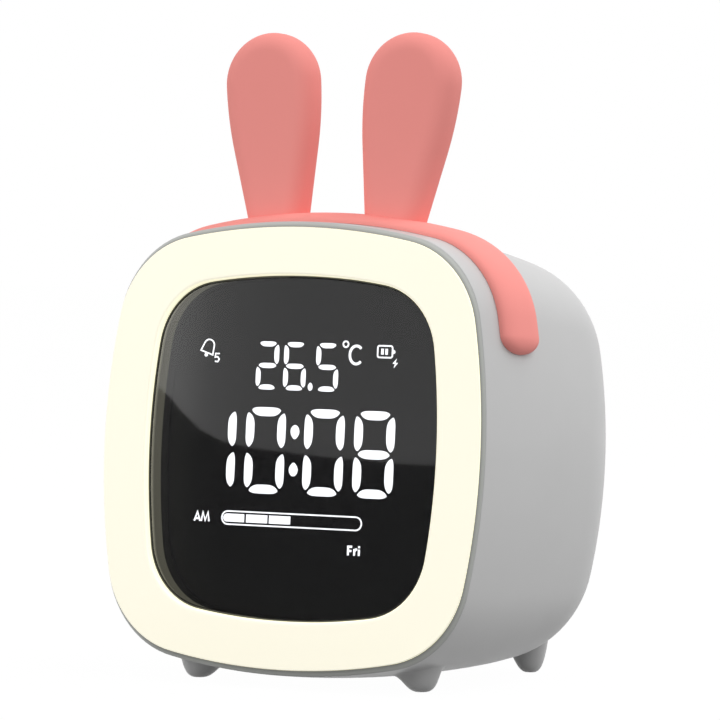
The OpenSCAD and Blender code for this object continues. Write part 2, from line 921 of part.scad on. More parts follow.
module button_set() { push_button(0); }
module button_alarm() { push_button(1); }
module button_up() { push_button(2); }
module button_down() { push_button(3); }
module button_light() { push_button(4); }

// ---- Loudspeaker ----------------------------------------------------------------------------

module at_speaker() {
    stand()
        translate([speaker_x, 0, speaker_z])
            rotate([-90, 0, 0])
                children();
}

module speaker_frame() {
    low = speaker_y + basket_y;
    rim_y = speaker_y + speaker_d;
    color(steel)
        at_speaker()
            rotate_extrude()
                polygon([[magnet_r + seat, low], [magnet_r + 2, low],
                    [speaker_r - 1, rim_y - 1.2], [speaker_r, rim_y - 1.2], [speaker_r, rim_y],
                    [speaker_r - 1.4, rim_y], [speaker_r - 1.4, rim_y - 0.7],
                    [magnet_r + 1.6, low + 0.6], [magnet_r + seat, low + 0.6]]);
}

module speaker_magnet() {
    color(steel)
        at_speaker()
            translate([0, 0, speaker_y])
                cylinder(r = magnet_r, h = basket_y + 0.8);
}

module speaker_cone() {
    cone_y = speaker_y + speaker_d - 0.65;
    cone_r = speaker_r - 1.5;
    color(soft_black)
        at_speaker()
            rotate_extrude()
                polygon([[0, cone_y - 1], [2.5, cone_y - 1.6], [cone_r - 1.5, cone_y - 0.4],
                    [cone_r, cone_y], [cone_r, cone_y + 0.3], [cone_r - 1.5, cone_y],
                    [2.5, cone_y - 1.2], [0, cone_y - 0.6]]);
}

module speaker_gasket() {
    color(soft_black)
        at_speaker()
            translate([0, 0, cover_y - seat - gasket_t])
                difference() {
                    cylinder(r = speaker_r, h = gasket_t);
                    translate([0, 0, -1])
                        cylinder(r = speaker_r - 1.6, h = gasket_t + 2);
                }
}

// ---- Charging socket ------------------------------------------------------------------------

module usb_board() {
    color(board_green)
        stand()
            at(usb_x, usb_board_z)
                block([usb_board_w, usb_board_l, usb_board_t], usb_board_y);
}

module rounded_bar(w, h, y, l) {
    for (s = [-1, 1])
        at(s * (w - h) / 2, 0)
            bar(h / 2, y, l);
    block([w - h, l, h], y);
}

module usb_socket() {
    skin = 0.3;
    color(steel)
        stand()
            at(usb_x, usb_z)
                difference() {
                    rounded_bar(usb_w, usb_h, usb_y, usb_l);
                    rounded_bar(usb_w - 2 * skin, usb_h - 2 * skin, usb_y + 1, usb_l);
                }
}

module usb_tongue() {
    color(soft_black)
        stand()
            at(usb_x, usb_z)
                block([6.6, usb_l - 2, 0.7], usb_y + 1 + seat);
}

// ---- Headband and ears ----------------------------------------------------------------------

// Share of a quarter turn at which the barrel's outline reaches height z on its side
function side_share_at(z) =
    let (h = skin_half_w(band_y), v = skin_half_h(band_y))
    side_share * asin(z * h / v / side_r) / side_sweep(h, side_r, corner_r);

band_from = side_share_at(band_end_z);
band_dome = 2.6;     // exponent of the headband's domed section
band_steps = 44;
dome_steps = 12;
quarter_len = side_r * side_sweep(skin_half_w(band_y), side_r, corner_r) * PI / 180 / side_share;

// Half width of the headband at the share u of its length, as a part of its full half width
function band_fullness(u) =
    let (from_end = min(u, 1 - u) * 2 * (1 - band_from) * quarter_len / (band_w / 2))
    from_end >= 1 ? 1 : max(0.22, sqrt(1 - pow(1 - from_end, 2)));

// Even steps along the headband, with closer ones at its rounded ends
function band_place(i) =
    let (u = i / band_steps)
    u - sin(360 * u) / 9;

function power_of(v, e) = sign(v) * pow(abs(v), e);

function band_ring(u) =
    let (full = band_fullness(u), t = band_from + 2 * (1 - band_from) * u)
    let (quarter = t < 1 ? 0 : 1)
    [for (k = [0 : dome_steps])
        let (a = 180 * k / dome_steps)
        let (y = band_y + full * band_w / 2 * power_of(cos(a), 2 / band_dome))
        let (out = band_gap + full * band_t * pow(abs(sin(a)), 2 / band_dome))
        let (h = skin_half_w(y), v = skin_half_h(y), sweep = side_sweep(h, side_r, corner_r))
        let (turn = 90 * quarter + quarter_angle(t - quarter, sweep))
        let (p = outline_at(h, v, corner_r, turn))
        [p.x + out * cos(turn), y, p.y + out * sin(turn)]];

ear_side_r = 72;     // radius of an ear's long sides
ear_side_fall = 13;  // height below the head's middle at which the sides turn straight
ear_edge = 3.6;      // rounding of an ear's rim
ear_steps = 18;
tenon_w = 6;
tenon_t = 3.4;

// Height of the housing's top under the headband, at the distance x from the middle
function top_z(x) =
    skin_half_h(band_y) * (1 - side_fall(x) / skin_half_w(band_y));

// An ear's axis crosses the headband at ear_root_x, and the ear starts inside the headband
ear_root_x = ear_head_x - (ear_head_z - top_z(ear_head_x)) * tan(ear_splay);
ear_root_z = top_z(ear_root_x) + band_gap + band_t / 3;
ear_drop = (ear_head_z - ear_root_z) / cos(ear_splay);

// Half width of an ear at the drop below the middle of its head
function ear_half(drop) =
    let (bow = ear_side_r - sqrt(pow(ear_side_r, 2) - pow(min(drop, ear_side_fall), 2)))
    let (slope = ear_side_fall / sqrt(pow(ear_side_r, 2) - pow(ear_side_fall, 2)))
    ear_r - bow - slope * max(0, drop - ear_side_fall);

// Outline of an ear, drawn in by inset all round except at its foot
function ear_outline(inset) = concat(
    [for (i = [0 : ear_steps])
        let (a = 180 * i / ear_steps)
        [(ear_r - inset) * cos(a), (ear_r - inset) * sin(a)]],
    [for (i = [1 : ear_steps])
        let (drop = ear_drop * i / ear_steps)
        [inset - ear_half(drop), -drop]],
    [for (i = [ear_steps : -1 : 1])
        let (drop = ear_drop * i / ear_steps)
        [ear_half(drop) - inset, -drop]]);

// Puts what is drawn round an ear's head on the left (-1) or right (1) side
module ear_place(side) {
    translate([side * ear_head_x, band_y, ear_head_z])
        rotate([0, side * ear_splay, 0])
            children();
}

// Tenon that plugs an ear into the headband; its mortise is wider by slack and goes right through
module tenon(slack, depth) {
    translate([-tenon_w / 2 - slack, -tenon_t / 2 - slack, -ear_drop - depth])
        cube([tenon_w + 2 * slack, tenon_t + 2 * slack, depth + 2 * band_t]);
}

module band_solid() {
    loft([for (i = [0 : band_steps]) band_ring(band_place(i))]);
}

module ear_band() {
    color(coral)
        stand()
            difference() {
                band_solid();
                for (side = [-1, 1])
                    ear_place(side)
                        tenon(seat, 2 * band_t);
            }
}

module ear(side) {
    half_t = ear_t / 2 - ear_edge;
    color(coral)
        stand() {
            difference() {
                ear_place(side)
                    loft([for (a = [-90 : 18 : 90])
                        ring_at(ear_outline(ear_edge * (1 - cos(a))),
                            (a < 0 ? -half_t : half_t) + ear_edge * sin(a))]);
                band_solid();
            }
            ear_place(side)
                tenon(0, band_t / 4);
        }
}

module left_ear() { ear(-1); }
module right_ear() { ear(1); }

housing();
front_frame();
light_ring();
lens_trim();
display_lens();
display_carrier();
lcd_panel();
backlight_panel();
lcd_contact_strip();
lamp_board();
night_lamps();
frame_screws();
main_board();
board_screws();
clock_chip();
board_parts();
tap_sensor();
temperature_sensor();
board_sockets();
battery_cell();
battery_tape();
battery_leads();
rear_cover();
cover_screws();
button_board();
button_board_screws();
tact_switches();
button_set();
button_alarm();
button_up();
button_down();
button_light();
speaker_frame();
speaker_magnet();
speaker_cone();
speaker_gasket();
speaker_leads();
usb_board();
usb_socket();
usb_tongue();
charge_leads();
ribbon_cable();
ear_band();
left_ear();
right_ear();
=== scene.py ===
import math

import bmesh
import bpy
import numpy as np
from mathutils import Matrix, Vector
from mathutils.bvhtree import BVHTree


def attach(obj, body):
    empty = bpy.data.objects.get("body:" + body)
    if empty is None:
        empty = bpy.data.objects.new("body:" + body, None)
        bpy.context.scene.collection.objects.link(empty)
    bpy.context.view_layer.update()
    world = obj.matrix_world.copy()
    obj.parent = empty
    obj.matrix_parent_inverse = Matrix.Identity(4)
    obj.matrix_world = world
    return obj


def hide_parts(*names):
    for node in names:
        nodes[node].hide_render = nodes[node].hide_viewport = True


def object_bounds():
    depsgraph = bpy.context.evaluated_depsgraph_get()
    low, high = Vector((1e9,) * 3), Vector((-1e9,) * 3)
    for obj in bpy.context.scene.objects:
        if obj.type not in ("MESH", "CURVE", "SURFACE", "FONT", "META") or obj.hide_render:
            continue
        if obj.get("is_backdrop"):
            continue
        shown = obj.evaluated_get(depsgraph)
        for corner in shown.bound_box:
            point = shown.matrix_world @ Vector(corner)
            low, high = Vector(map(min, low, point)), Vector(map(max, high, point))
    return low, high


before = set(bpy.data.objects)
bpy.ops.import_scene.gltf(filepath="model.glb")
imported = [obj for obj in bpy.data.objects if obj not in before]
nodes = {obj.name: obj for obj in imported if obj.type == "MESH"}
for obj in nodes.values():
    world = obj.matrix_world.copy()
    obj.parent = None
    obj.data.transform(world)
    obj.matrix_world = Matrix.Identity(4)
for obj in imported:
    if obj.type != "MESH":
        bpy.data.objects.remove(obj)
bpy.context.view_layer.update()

# ---- Housing --------------------------------------------------------------------------------
# A soft square barrel of satin grey-white plastic, moulded in one piece with four stub feet and
# the posts inside. It leans back on its feet, and its rounded rear has an opening for the cover.
# Sizes are in mm in the clock's own frame: X right, Y back from the front face, Z up.

LEAN = math.radians(3.7)
FACE_HEIGHT = 46.4
HALF_W, HALF_H = 41.0, 42.7
SIDE_R, CORNER_R = 128.0, 18.2
BODY_D, PARTING, WALL = 70.0, 1.4, 2.0
SIDE_FLARE, TOP_FLARE = 0.65, 1.15
SIDE_SWELL, TOP_SWELL, REAR_TAPER = 0.8, 2.3, 5.4
BACK_ROUND_D, BACK_ROUND_W = 22.0, 14.0
EDGE_R, REAR_FLAT = 0.22, 0.4
KEY_PROUD, KEY_Z = 0.9, 8.0
COVER_T, COVER_W, COVER_H, COVER_CORNER_R = 2.2, 49.0, 44.0, 8.0
LEDGE_W, LEDGE_T = 1.8, 1.75
SLIP, SEAT = 0.15, 0.05
ORIGIN_Y = ((BODY_D + KEY_PROUD) * math.cos(LEAN) + (KEY_Z - HALF_H) * math.sin(LEAN)) / 2
QUARTER_STEPS = 44
SIDE_SHARE = 0.35


def stood(points):
    """Points of the upright clock in mm as points of the leaning clock in the frame, in metres."""
    x, y, z = np.moveaxis(np.asarray(points, float), -1, 0)
    back = y * math.cos(LEAN) + z * math.sin(LEAN) - ORIGIN_Y
    up = z * math.cos(LEAN) - y * math.sin(LEAN) + FACE_HEIGHT
    return np.stack([x, back, up], -1) / 1000


def corner_of(half_w, corner_r):
    """Centre distance of a corner arc that is tangent to two bowed sides, and a side's half sweep."""
    middle = half_w - SIDE_R
    centre = (middle + math.sqrt(2 * (SIDE_R - corner_r) ** 2 - middle**2)) / 2
    return centre, math.atan2(centre, centre - middle)


def outline_at(half_w, half_h, corner_r, turn):
    """Points of a square with bowed sides where its normal points along the angles turn."""
    centre, sweep = corner_of(half_w, corner_r)
    middle = half_w - SIDE_R
    c, s = np.abs(np.cos(turn)), np.abs(np.sin(turn))
    fold = np.arctan2(s, c)
    on_side, on_top = fold < sweep, fold > math.pi / 2 - sweep
    x = np.where(on_side, middle + SIDE_R * c, np.where(on_top, SIDE_R * c, centre + corner_r * c))
    z = np.where(on_side, SIDE_R * s, np.where(on_top, middle + SIDE_R * s, centre + corner_r * s))
    return x * np.sign(np.cos(turn)), z * np.sign(np.sin(turn)) * half_h / half_w


def turn_at(share, sweep):
    """Angle of the normal at the share of a quarter turn; most points lie in the corners."""
    side = share / SIDE_SHARE * sweep
    top = math.pi / 2 - (1 - share) / SIDE_SHARE * sweep
    corner = sweep + (math.pi / 2 - 2 * sweep) * (share - SIDE_SHARE) / (1 - 2 * SIDE_SHARE)
    return np.where(share < SIDE_SHARE, side, np.where(share > 1 - SIDE_SHARE, top, corner))


def outline_ring(half_w, half_h, corner_r, y):
    """One closed ring of the bowed square at depth y."""
    sweep = corner_of(half_w, corner_r)[1]
    quarter = turn_at(np.arange(QUARTER_STEPS) / QUARTER_STEPS, sweep)
    turns = np.concatenate([quarter + q * math.pi / 2 for q in range(4)])
    x, z = outline_at(half_w, half_h, corner_r, turns)
    return np.stack([x, np.full_like(x, y), z], -1)


def skin(rings, closed=False):
    """Points and faces of the skin over rings of points: capped, or closed into itself."""
    rings = np.asarray(rings)
    count, around = rings.shape[:2]
    faces = []
    for j in range(count if closed else count - 1):
        low, high = j * around, (j + 1) % count * around
        for i in range(around):
            k = (i + 1) % around
            faces.append((low + i, low + k, high + k, high + i))
    if not closed:
        faces.append(tuple(range(around))[::-1])
        faces.append(tuple(range((count - 1) * around, count * around)))
    return rings.reshape(-1, 3), faces


def in_scene(name, data):
    """A new object of the scene that shows the data."""
    made = bpy.data.objects.new(name, data)
    bpy.context.scene.collection.objects.link(made)
    return made


# Points nearer than this, in metres, are one point: in a piece, and in a shape evaluated for one.
SAME_POINT, SAME_DRAFT_POINT = 5e-7, 1e-6


def piece(name, parts, finish, body="clock", stands_for=(), sharp=40):
    """A finished piece that rides on a body, made of closed parts given as points and faces."""
    mesh = bpy.data.meshes.new(name)
    shape = bmesh.new()
    for points, faces in parts:
        corners = [shape.verts.new(p) for p in points]
        for face in faces:
            shape.faces.new([corners[i] for i in face])
    bmesh.ops.remove_doubles(shape, verts=shape.verts, dist=SAME_POINT)
    bmesh.ops.recalc_face_normals(shape, faces=shape.faces)
    shape.to_mesh(mesh)
    shape.free()
    mesh.shade_smooth()
    mesh.set_sharp_from_angle(angle=math.radians(sharp))
    mesh.materials.append(finish)
    made = in_scene(name, mesh)
    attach(made, body)
    if stands_for:
        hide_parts(*stands_for)
    return made


BUMP_STRENGTH = 0.6


class Flow:
    """A value on its way through a node tree: arithmetic on flows adds Math nodes."""

    def __init__(self, tree, socket):
        self.tree, self.socket = tree, socket

    def __add__(self, other):
        return self.tree.math("ADD", self, other)

    def __sub__(self, other):
        return self.tree.math("SUBTRACT", self, other)

    def __rsub__(self, other):
        return self.tree.math("SUBTRACT", other, self)

    def __mul__(self, other):
        return self.tree.math("MULTIPLY", self, other)

    def __truediv__(self, other):
        return self.tree.math("DIVIDE", self, other)

    def __rtruediv__(self, other):
        return self.tree.math("DIVIDE", other, self)

    def __pow__(self, other):
        return self.tree.math("POWER", self, other)

    __radd__ = __add__
    __rmul__ = __mul__


class Tree:
    """A node tree that is filled one node at a time."""

    def __init__(self, tree):
        self.tree = tree

    def add(self, kind, settings=None, sockets=None, output=0):
        node = self.tree.nodes.new(kind)
        for setting, value in (settings or {}).items():
            if setting == "stops":
                self.set_stops(node.color_ramp.elements, value)
            else:
                setattr(node, setting, value)
        for socket, value in (sockets or {}).items():
            if isinstance(value, Flow):
                self.tree.links.new(value.socket, node.inputs[socket])
            else:
                node.inputs[socket].default_value = value
        return Flow(self, node.outputs[output]) if node.outputs else node

    @staticmethod
    def set_stops(elements, stops):
        while len(elements) < len(stops):
            elements.new(1.0)
        for element, (place, colour) in zip(elements, stops):
            element.position = place
            element.color = colour

    def math(self, operation, *values):
        return self.add("ShaderNodeMath", {"operation": operation}, dict(enumerate(values)))

    def place(self):
        return self.add("ShaderNodeTexCoord", output="Object")

    def along(self, place, way):
        """How far the place lies along the way."""
        return self.add("ShaderNodeVectorMath", {"operation": "DOT_PRODUCT"}, {0: place, 1: way}, "Value")

    def noise(self, place, scale, detail):
        return self.add("ShaderNodeTexNoise", {}, {"Vector": place, "Scale": scale, "Detail": detail})

    def mixed(self, share, low, high):
        """The colour low where the share is 0, and high where it is 1."""
        return self.add("ShaderNodeMix", {"data_type": "RGBA"}, {0: share, 6: low, 7: high}, output=2)

    def ramp(self, share, stops):
        return self.add("ShaderNodeValToRGB", {"stops": stops}, {"Fac": share})

    def bump(self, height, relief):
        """The normal of a texture that stands up by the relief in mm."""
        sockets = {"Strength": BUMP_STRENGTH, "Distance": relief / 1000, "Height": height}
        return self.add("ShaderNodeBump", {}, sockets)

    def shader(self, **sockets):
        """Ends a finish in a shader with these sockets, an underscore standing for a space."""
        named = {key.replace("_", " "): value for key, value in sockets.items()}
        shade = self.add("ShaderNodeBsdfPrincipled", {}, named)
        self.add("ShaderNodeOutputMaterial", {}, {"Surface": shade})


def linear(red, green, blue):
    """A screen colour of 0 to 255 as the shader's linear colour."""
    parts = [v / 255 for v in (red, green, blue)]
    return tuple(v / 12.92 if v < 0.04045 else ((v + 0.055) / 1.055) ** 2.4 for v in parts) + (1.0,)


def scaled(colour, factor):
    return tuple(min(1.0, v * factor) for v in colour[:3]) + (1.0,)


def new_finish(name):
    """An empty material and its tree."""
    finish = bpy.data.materials.new(name)
    finish.use_nodes = True
    finish.node_tree.nodes.clear()
    return finish, Tree(finish.node_tree)


# The scales of a finish's colour drift and smudges, and how far smudges and grain change its gloss.
DRIFT_SCALE, SMUDGE_SCALE = 40.0, 130.0
SMUDGE_GLOSS, GRAIN_GLOSS = 0.12, 0.08


def textured(tree, place, shade, roughness, grain, relief, **constants):
    """Ends a finish as plastic with smudges and a spark-eroded texture, whose grain is this large
    and whose relief is this high in mm."""
    fine, smudge = tree.noise(place, 1000 / grain, 2.0), tree.noise(place, SMUDGE_SCALE, 4.0)
    gloss = roughness + (smudge - 0.5) * SMUDGE_GLOSS + (fine - 0.5) * GRAIN_GLOSS
    tree.shader(Base_Color=shade, Roughness=gloss, Normal=tree.bump(fine, relief), **constants)


def moulded(name, screen_colour, roughness, grain=0.3, relief=0.004, drift=0.035, **constants):
    """Moulded plastic or rubber, its colour wandering by the share drift either way."""
    finish, tree = new_finish(name)
    place, colour = tree.place(), linear(*screen_colour)
    wander = tree.noise(place, DRIFT_SCALE, 3.0)
    shade = tree.mixed(wander, scaled(colour, 1 - drift), scaled(colour, 1 + drift))
    textured(tree, place, shade, roughness, grain, relief, **constants)
    return finish


def barrel(y, inset=0.0):
    """Half width and half height of the barrel at depth y, drawn in by inset."""
    share = (y - PARTING) / (BODY_D - PARTING)
    hump = 4 * share * (1 - share)
    half_w = HALF_W + SIDE_FLARE + SIDE_SWELL * hump
    half_h = HALF_H + TOP_FLARE + TOP_SWELL * hump - REAR_TAPER * share
    return half_w - inset, half_h - inset


def round_in(y, end, reach, into):
    """How far the rounding that ends at depth end has drawn the barrel in."""
    along = max(0.0, (y - end + reach) / reach)
    return into * (1 - math.sqrt(max(0.0, 1 - along**2)))


def skin_half(y):
    """Half width and half height of the barrel's outer skin at depth y."""
    return barrel(y, round_in(y, BODY_D, BACK_ROUND_D, BACK_ROUND_W))


def quarter_arc(steps):
    """Angles of a quarter turn in steps."""
    return [math.pi / 2 * i / steps for i in range(steps + 1)]


# The numbers of rings along the barrel, round its rear, inside it and round a small edge.
BARREL_STEPS, REAR_STEPS, INNER_STEPS, EDGE_STEPS, FIRST_RING = 40, 24, 16, 4, 0.5
outer_rings = []
for a in quarter_arc(EDGE_STEPS):
    halves = barrel(PARTING, EDGE_R * (1 - math.sin(a)))
    outer_rings.append(outline_ring(*halves, CORNER_R, PARTING + EDGE_R * (1 - math.cos(a))))
outer_depths = list(np.linspace(PARTING + FIRST_RING, BODY_D - BACK_ROUND_D, BARREL_STEPS))
outer_depths += [BODY_D - BACK_ROUND_D * (1 - math.sin(a)) for a in quarter_arc(REAR_STEPS)[1:]]
outer_rings += [outline_ring(*skin_half(y), CORNER_R, y) for y in outer_depths]


def opening_ring(inset, y):
    """Ring of the rear opening, drawn in by inset from the edge that takes the cover."""
    cut_w, cut_h = COVER_W / 2 + SLIP - inset, COVER_H / 2 + SLIP - inset
    return outline_ring(cut_w, cut_h, COVER_CORNER_R + SLIP - inset, y)


ledge_y = BODY_D - COVER_T - SEAT
cave_end = ledge_y - LEDGE_T
cave_reach = BACK_ROUND_D - WALL
opening_rings = [opening_ring(-EDGE_R - REAR_FLAT, BODY_D)]
for a in quarter_arc(EDGE_STEPS):
    opening_rings.append(opening_ring(EDGE_R * (math.sin(a) - 1), BODY_D - EDGE_R * (1 - math.cos(a))))
opening_rings += [opening_ring(0, ledge_y), opening_ring(LEDGE_W, ledge_y), opening_ring(LEDGE_W, cave_end)]
inner_depths = [cave_end - cave_reach * (1 - math.sin(a)) for a in quarter_arc(INNER_STEPS)[::-1]]
inner_depths += list(np.linspace(cave_end - cave_reach, PARTING, INNER_STEPS))[1:]
inner_rings = []
for y in inner_depths:
    halves = barrel(y, WALL + round_in(y, cave_end, cave_reach, BACK_ROUND_W - WALL))
    inner_rings.append(outline_ring(*halves, CORNER_R - WALL, y))
housing_shell = skin(stood(outer_rings + opening_rings + inner_rings), closed=True)


def turned(profile, steps):
    """Rings of a profile of (radius, depth) pairs turned round an axis along the depth."""
    turns = np.arange(steps) / steps * 2 * math.pi
    rings = [np.stack([r * np.cos(turns), np.full(steps, y), r * np.sin(turns)], -1) for r, y in profile]
    return np.array(rings)


def turned_at(x, z, profile, steps, closed=False):
    """Skin of a profile turned round the axis at x and z."""
    return skin(stood(turned(profile, steps) + np.array((x, 0, z))), closed)


def tube(x, z, y, length, outer_r, inner_r):
    """An open tube along the depth, as a screw post is."""
    end = y + length
    return turned_at(x, z, [(inner_r, y), (outer_r, y), (outer_r, end), (inner_r, end)], 32, closed=True)


def corners_of(x, z):
    """The four places at this distance from the middle, sideways and up."""
    return [(sx * x, sz * z) for sx in (-1, 1) for sz in (-1, 1)]


# Four short posts take the front stack's screws, and four at the rear take the cover's.
BORE_R = 0.92
FRAME_POST_X, FRAME_POST_Z, FRAME_POST_R, FRAME_POST_L = 34.21, 14.0, 2.6, 12.0
COVER_POST_X, COVER_POST_Z, COVER_POST_R, COVER_POST_L = 19.5, 17.0, 3.0, 9.0
POST_Y = 7.7
frame_post_places = corners_of(FRAME_POST_X, FRAME_POST_Z)
cover_post_places = corners_of(COVER_POST_X, COVER_POST_Z)
posts = []
for frame_place, cover_place in zip(frame_post_places, cover_post_places):
    posts.append(tube(*frame_place, POST_Y, FRAME_POST_L, FRAME_POST_R, BORE_R))
    posts.append(tube(*cover_place, ledge_y - COVER_POST_L, COVER_POST_L, COVER_POST_R, BORE_R))

# Each foot is a short stub with a domed end, drawn out towards the middle of the clock, and a
# fillet runs from it into the shell.
FOOT_X, FOOT_YS = 24.5, (10.1, 58.8)
FOOT_TIP_R, FOOT_LOW_R, FOOT_NECK_R, FOOT_ROOT_R, FOOT_SPREAD = 0.7, 3.7, 3.15, 4.7, 1.8
FOOT_SINK, RAY_FROM = WALL * 0.6, -0.01
shell_points, shell_faces = skin(stood(outer_rings))
underside = BVHTree.FromPolygons([Vector(p) for p in shell_points], shell_faces)


def shell_height(x, y):
    """Height in mm at which the shell's underside lies over a place on the floor."""
    return underside.ray_cast(Vector((x / 1000, y / 1000, RAY_FROM)), Vector((0, 0, 1)))[0].z * 1000


def foot(x, y, steps=56, rise=18):
    """A stub whose flank swings out from its tip and in to the shell along a smooth curve."""
    turns = np.arange(steps) / steps * 2 * math.pi
    inner_side = np.maximum(0.0, -math.copysign(1.0, x) * np.cos(turns)) ** 2

    def places(radius):
        return list(zip(x + radius * np.cos(turns), y + radius * np.sin(turns)))

    def heights(radius):
        return np.array([shell_height(px, py) for px, py in places(radius)])

    tip_r = np.full(steps, FOOT_TIP_R)
    low_r = FOOT_LOW_R - FOOT_SPREAD / 3 * inner_side
    neck_r = FOOT_NECK_R + FOOT_SPREAD / 2 * inner_side
    root_r = FOOT_ROOT_R + FOOT_SPREAD * inner_side
    levels = []
    for t in np.linspace(0, 1, rise):
        shares = (1 - t) ** 3, 3 * t * (1 - t) ** 2, 3 * t * t * (1 - t), t**3
        radius = sum(share * r for share, r in zip(shares, (tip_r, low_r, neck_r, root_r)))
        levels.append((radius, shares[2] * heights(neck_r) + shares[3] * heights(root_r)))
    levels.append((root_r, heights(root_r) + FOOT_SINK))
    rings = [[(px, py, up) for (px, py), up in zip(places(radius), ups)] for radius, ups in levels]
    return skin(np.array(rings) / 1000)


feet = [foot(s * FOOT_X, y - ORIGIN_Y) for s in (-1, 1) for y in FOOT_YS]
shell_plastic = moulded("satin_grey_white_plastic", (196, 196, 196), 0.42, 0.25, 0.006, 0.02)
housing_parts = [housing_shell, *posts, *feet]
piece("housing_shell", housing_parts, shell_plastic, stands_for=["housing"])

# ---- Front frame ----------------------------------------------------------------------------
# A narrow ring of the same plastic between the light ring and the housing. It flares outwards to
# the shell, and its lip is pushed into the housing.

RING_W, WINDOW_CORNER_R = 9.3, 13.4
FRAME_FRONT, FRAME_EDGE, FRAME_GAP = 0.6, 0.28, 0.02
LIP_END, LIP_OUT, LIP_IN = 5.8, -1.5, -2.7
frame_profile = [
    (FRAME_GAP, FRAME_EDGE, 0.02),
    (SIDE_FLARE, PARTING - SEAT, 0.1),
    (LIP_OUT, PARTING - SEAT, 0.1),
    (LIP_OUT, LIP_END, 0.2),
    (LIP_IN, LIP_END, 0.2),
    (LIP_IN, FRAME_FRONT, 0.1),
    (FRAME_GAP, FRAME_FRONT, 0.02),
]


# The distance of a close point from its arc, as a share of the arc's radius.
GUARD = 0.25


def rounded(corners, steps=5):
    """Closed profile through corners (out, depth, radius), with each corner turned into an arc and
    a close point on either side of it, which keeps the flats flat."""
    points = []
    count = len(corners)
    for i, (x, y, radius) in enumerate(corners):
        here = np.array((x, y))
        before = np.array(corners[i - 1][:2]) - here
        after = np.array(corners[(i + 1) % count][:2]) - here
        u, v = before / np.linalg.norm(before), after / np.linalg.norm(after)
        half = math.acos(max(-1.0, min(1.0, float(u @ v)))) / 2
        reach = radius / math.tan(half)
        centre = here + (u + v) / np.linalg.norm(u + v) * radius / math.sin(half)
        start, end = here + u * reach - centre, here + v * reach - centre
        points.append(centre + start + u * radius * GUARD)
        span = math.pi - 2 * half
        for k in range(steps + 1):
            t = k / steps
            swung = start * math.sin((1 - t) * span) + end * math.sin(t * span)
            points.append(centre + swung / math.sin(span))
        points.append(centre + end + v * radius * GUARD)
    return points


def face_ring(out, y):
    """Ring of the front face's outline moved outwards by out, and more so at top and bottom, at
    depth y."""
    corner_r = CORNER_R + out * (CORNER_R - WINDOW_CORNER_R) / RING_W
    up = out * TOP_FLARE / SIDE_FLARE if out > 0 else out
    return outline_ring(HALF_W + out, HALF_H + up, corner_r, y)


def round_the_face(corners, steps=5):
    """Skin of a rounded profile that runs round the front face."""
    return skin(stood([face_ring(out, y) for out, y in rounded(corners, steps)]), closed=True)


def depth_in(tree):
    """The object's place and its depth behind the front face in mm, as flows."""
    place = tree.place()
    along = tree.along(place, (0.0, math.cos(LEAN), -math.sin(LEAN)))
    return place, along * 1000 + (ORIGIN_Y * math.cos(LEAN) + FACE_HEIGHT * math.sin(LEAN))


# The grey is deeper beside the light ring and lightens towards the shell, over this depth: painted shade
# for the gap beside the ring.
PAINTED_SHADE_DEPTH = 2
painted_shade_grey, outer_grey = linear(142, 144, 138), linear(184, 186, 182)
frame_plastic, tree = new_finish("grey_frame_plastic")
place, depth = depth_in(tree)
stops = [(0.0, painted_shade_grey), (0.16, painted_shade_grey), (0.45, outer_grey), (1.0, outer_grey)]
# The frame's colour ramp by depth is painted shade, darker where it meets the light ring.
textured(tree, place, tree.ramp(depth / PAINTED_SHADE_DEPTH, stops), 0.45, 0.25, 0.006)
frame_skin = round_the_face(frame_profile)
piece("front_frame_ring", [frame_skin], frame_plastic, stands_for=["front_frame"])

# ---- Light ring -----------------------------------------------------------------------------
# The night light: a milky cream ring round the window. Lamps behind it make it glow evenly. Two
# skirts behind its face form the channel that takes the lamp board.

RING_T, SKIRT_T, INNER_SKIRT_Y, OUTER_SKIRT_Y = 2.0, 1.5, 6.8, 5.8
LENS_Y, LENS_T = 1.5, 0.8
RIM_Y = FRAME_FRONT - SEAT
SKIRT_OUT = LIP_IN - SEAT
ring_profile = [
    (0.0, 0.0, 0.15),
    (0.0, RIM_Y, 0.04),
    (SKIRT_OUT, RIM_Y, 0.1),
    (SKIRT_OUT, OUTER_SKIRT_Y - SEAT, 0.2),
    (SKIRT_OUT - SKIRT_T, OUTER_SKIRT_Y - SEAT, 0.2),
    (SKIRT_OUT - SKIRT_T, RING_T, 0.3),
    (SKIRT_T - RING_W, RING_T, 0.3),
    (SKIRT_T - RING_W, INNER_SKIRT_Y, 0.2),
    (-RING_W, INNER_SKIRT_Y, 0.2),
    (-RING_W, 0.0, 0.6),
]

# The face glows gently. Beside the window the inner skirt glows more, painted light for the light that
# falls on it there, and the glow fades behind it as painted shade: pairs of a share of the skirt's depth
# and the glow there. Further back its colour is darkened too, painted shade deep inside the window.
GLOW, FACE_GLOW = 1.2, 0.235
PAINTED_SKIRT_GLOW = [(0.04, 0.6), (0.12, 0.68), (0.22, 0.66), (0.3, 0.56), (0.44, 0.5), (0.55, 0.18), (1.0, 0.2)]
PAINTED_SHADE_FROM, PAINTED_SHADE_TO = LENS_Y + LENS_T + 0.6, LENS_Y + LENS_T + 1.8
CLOUD_SCALE, PORE_SCALE, PORE_RELIEF = 45.0, 2900.0, 0.003
face_light, painted_skirt_light = linear(255, 251, 237), linear(253, 249, 214)
diffuser, tree = new_finish("milky_cream_diffuser")
place, depth = depth_in(tree)
painted_shade_share = tree.add(
    "ShaderNodeMapRange",
    {"interpolation_type": "SMOOTHSTEP"},
    {"Value": depth, "From Min": PAINTED_SHADE_FROM, "From Max": PAINTED_SHADE_TO},
)
cloud = tree.noise(place, CLOUD_SCALE, 3.0)
milk = tree.mixed(cloud, linear(254, 249, 226), linear(255, 251, 230))
stops = [(at, scaled(face_light, FACE_GLOW)) for at in (0.0, 0.01)]
stops += [(at, scaled(painted_skirt_light, share)) for at, share in PAINTED_SKIRT_GLOW]
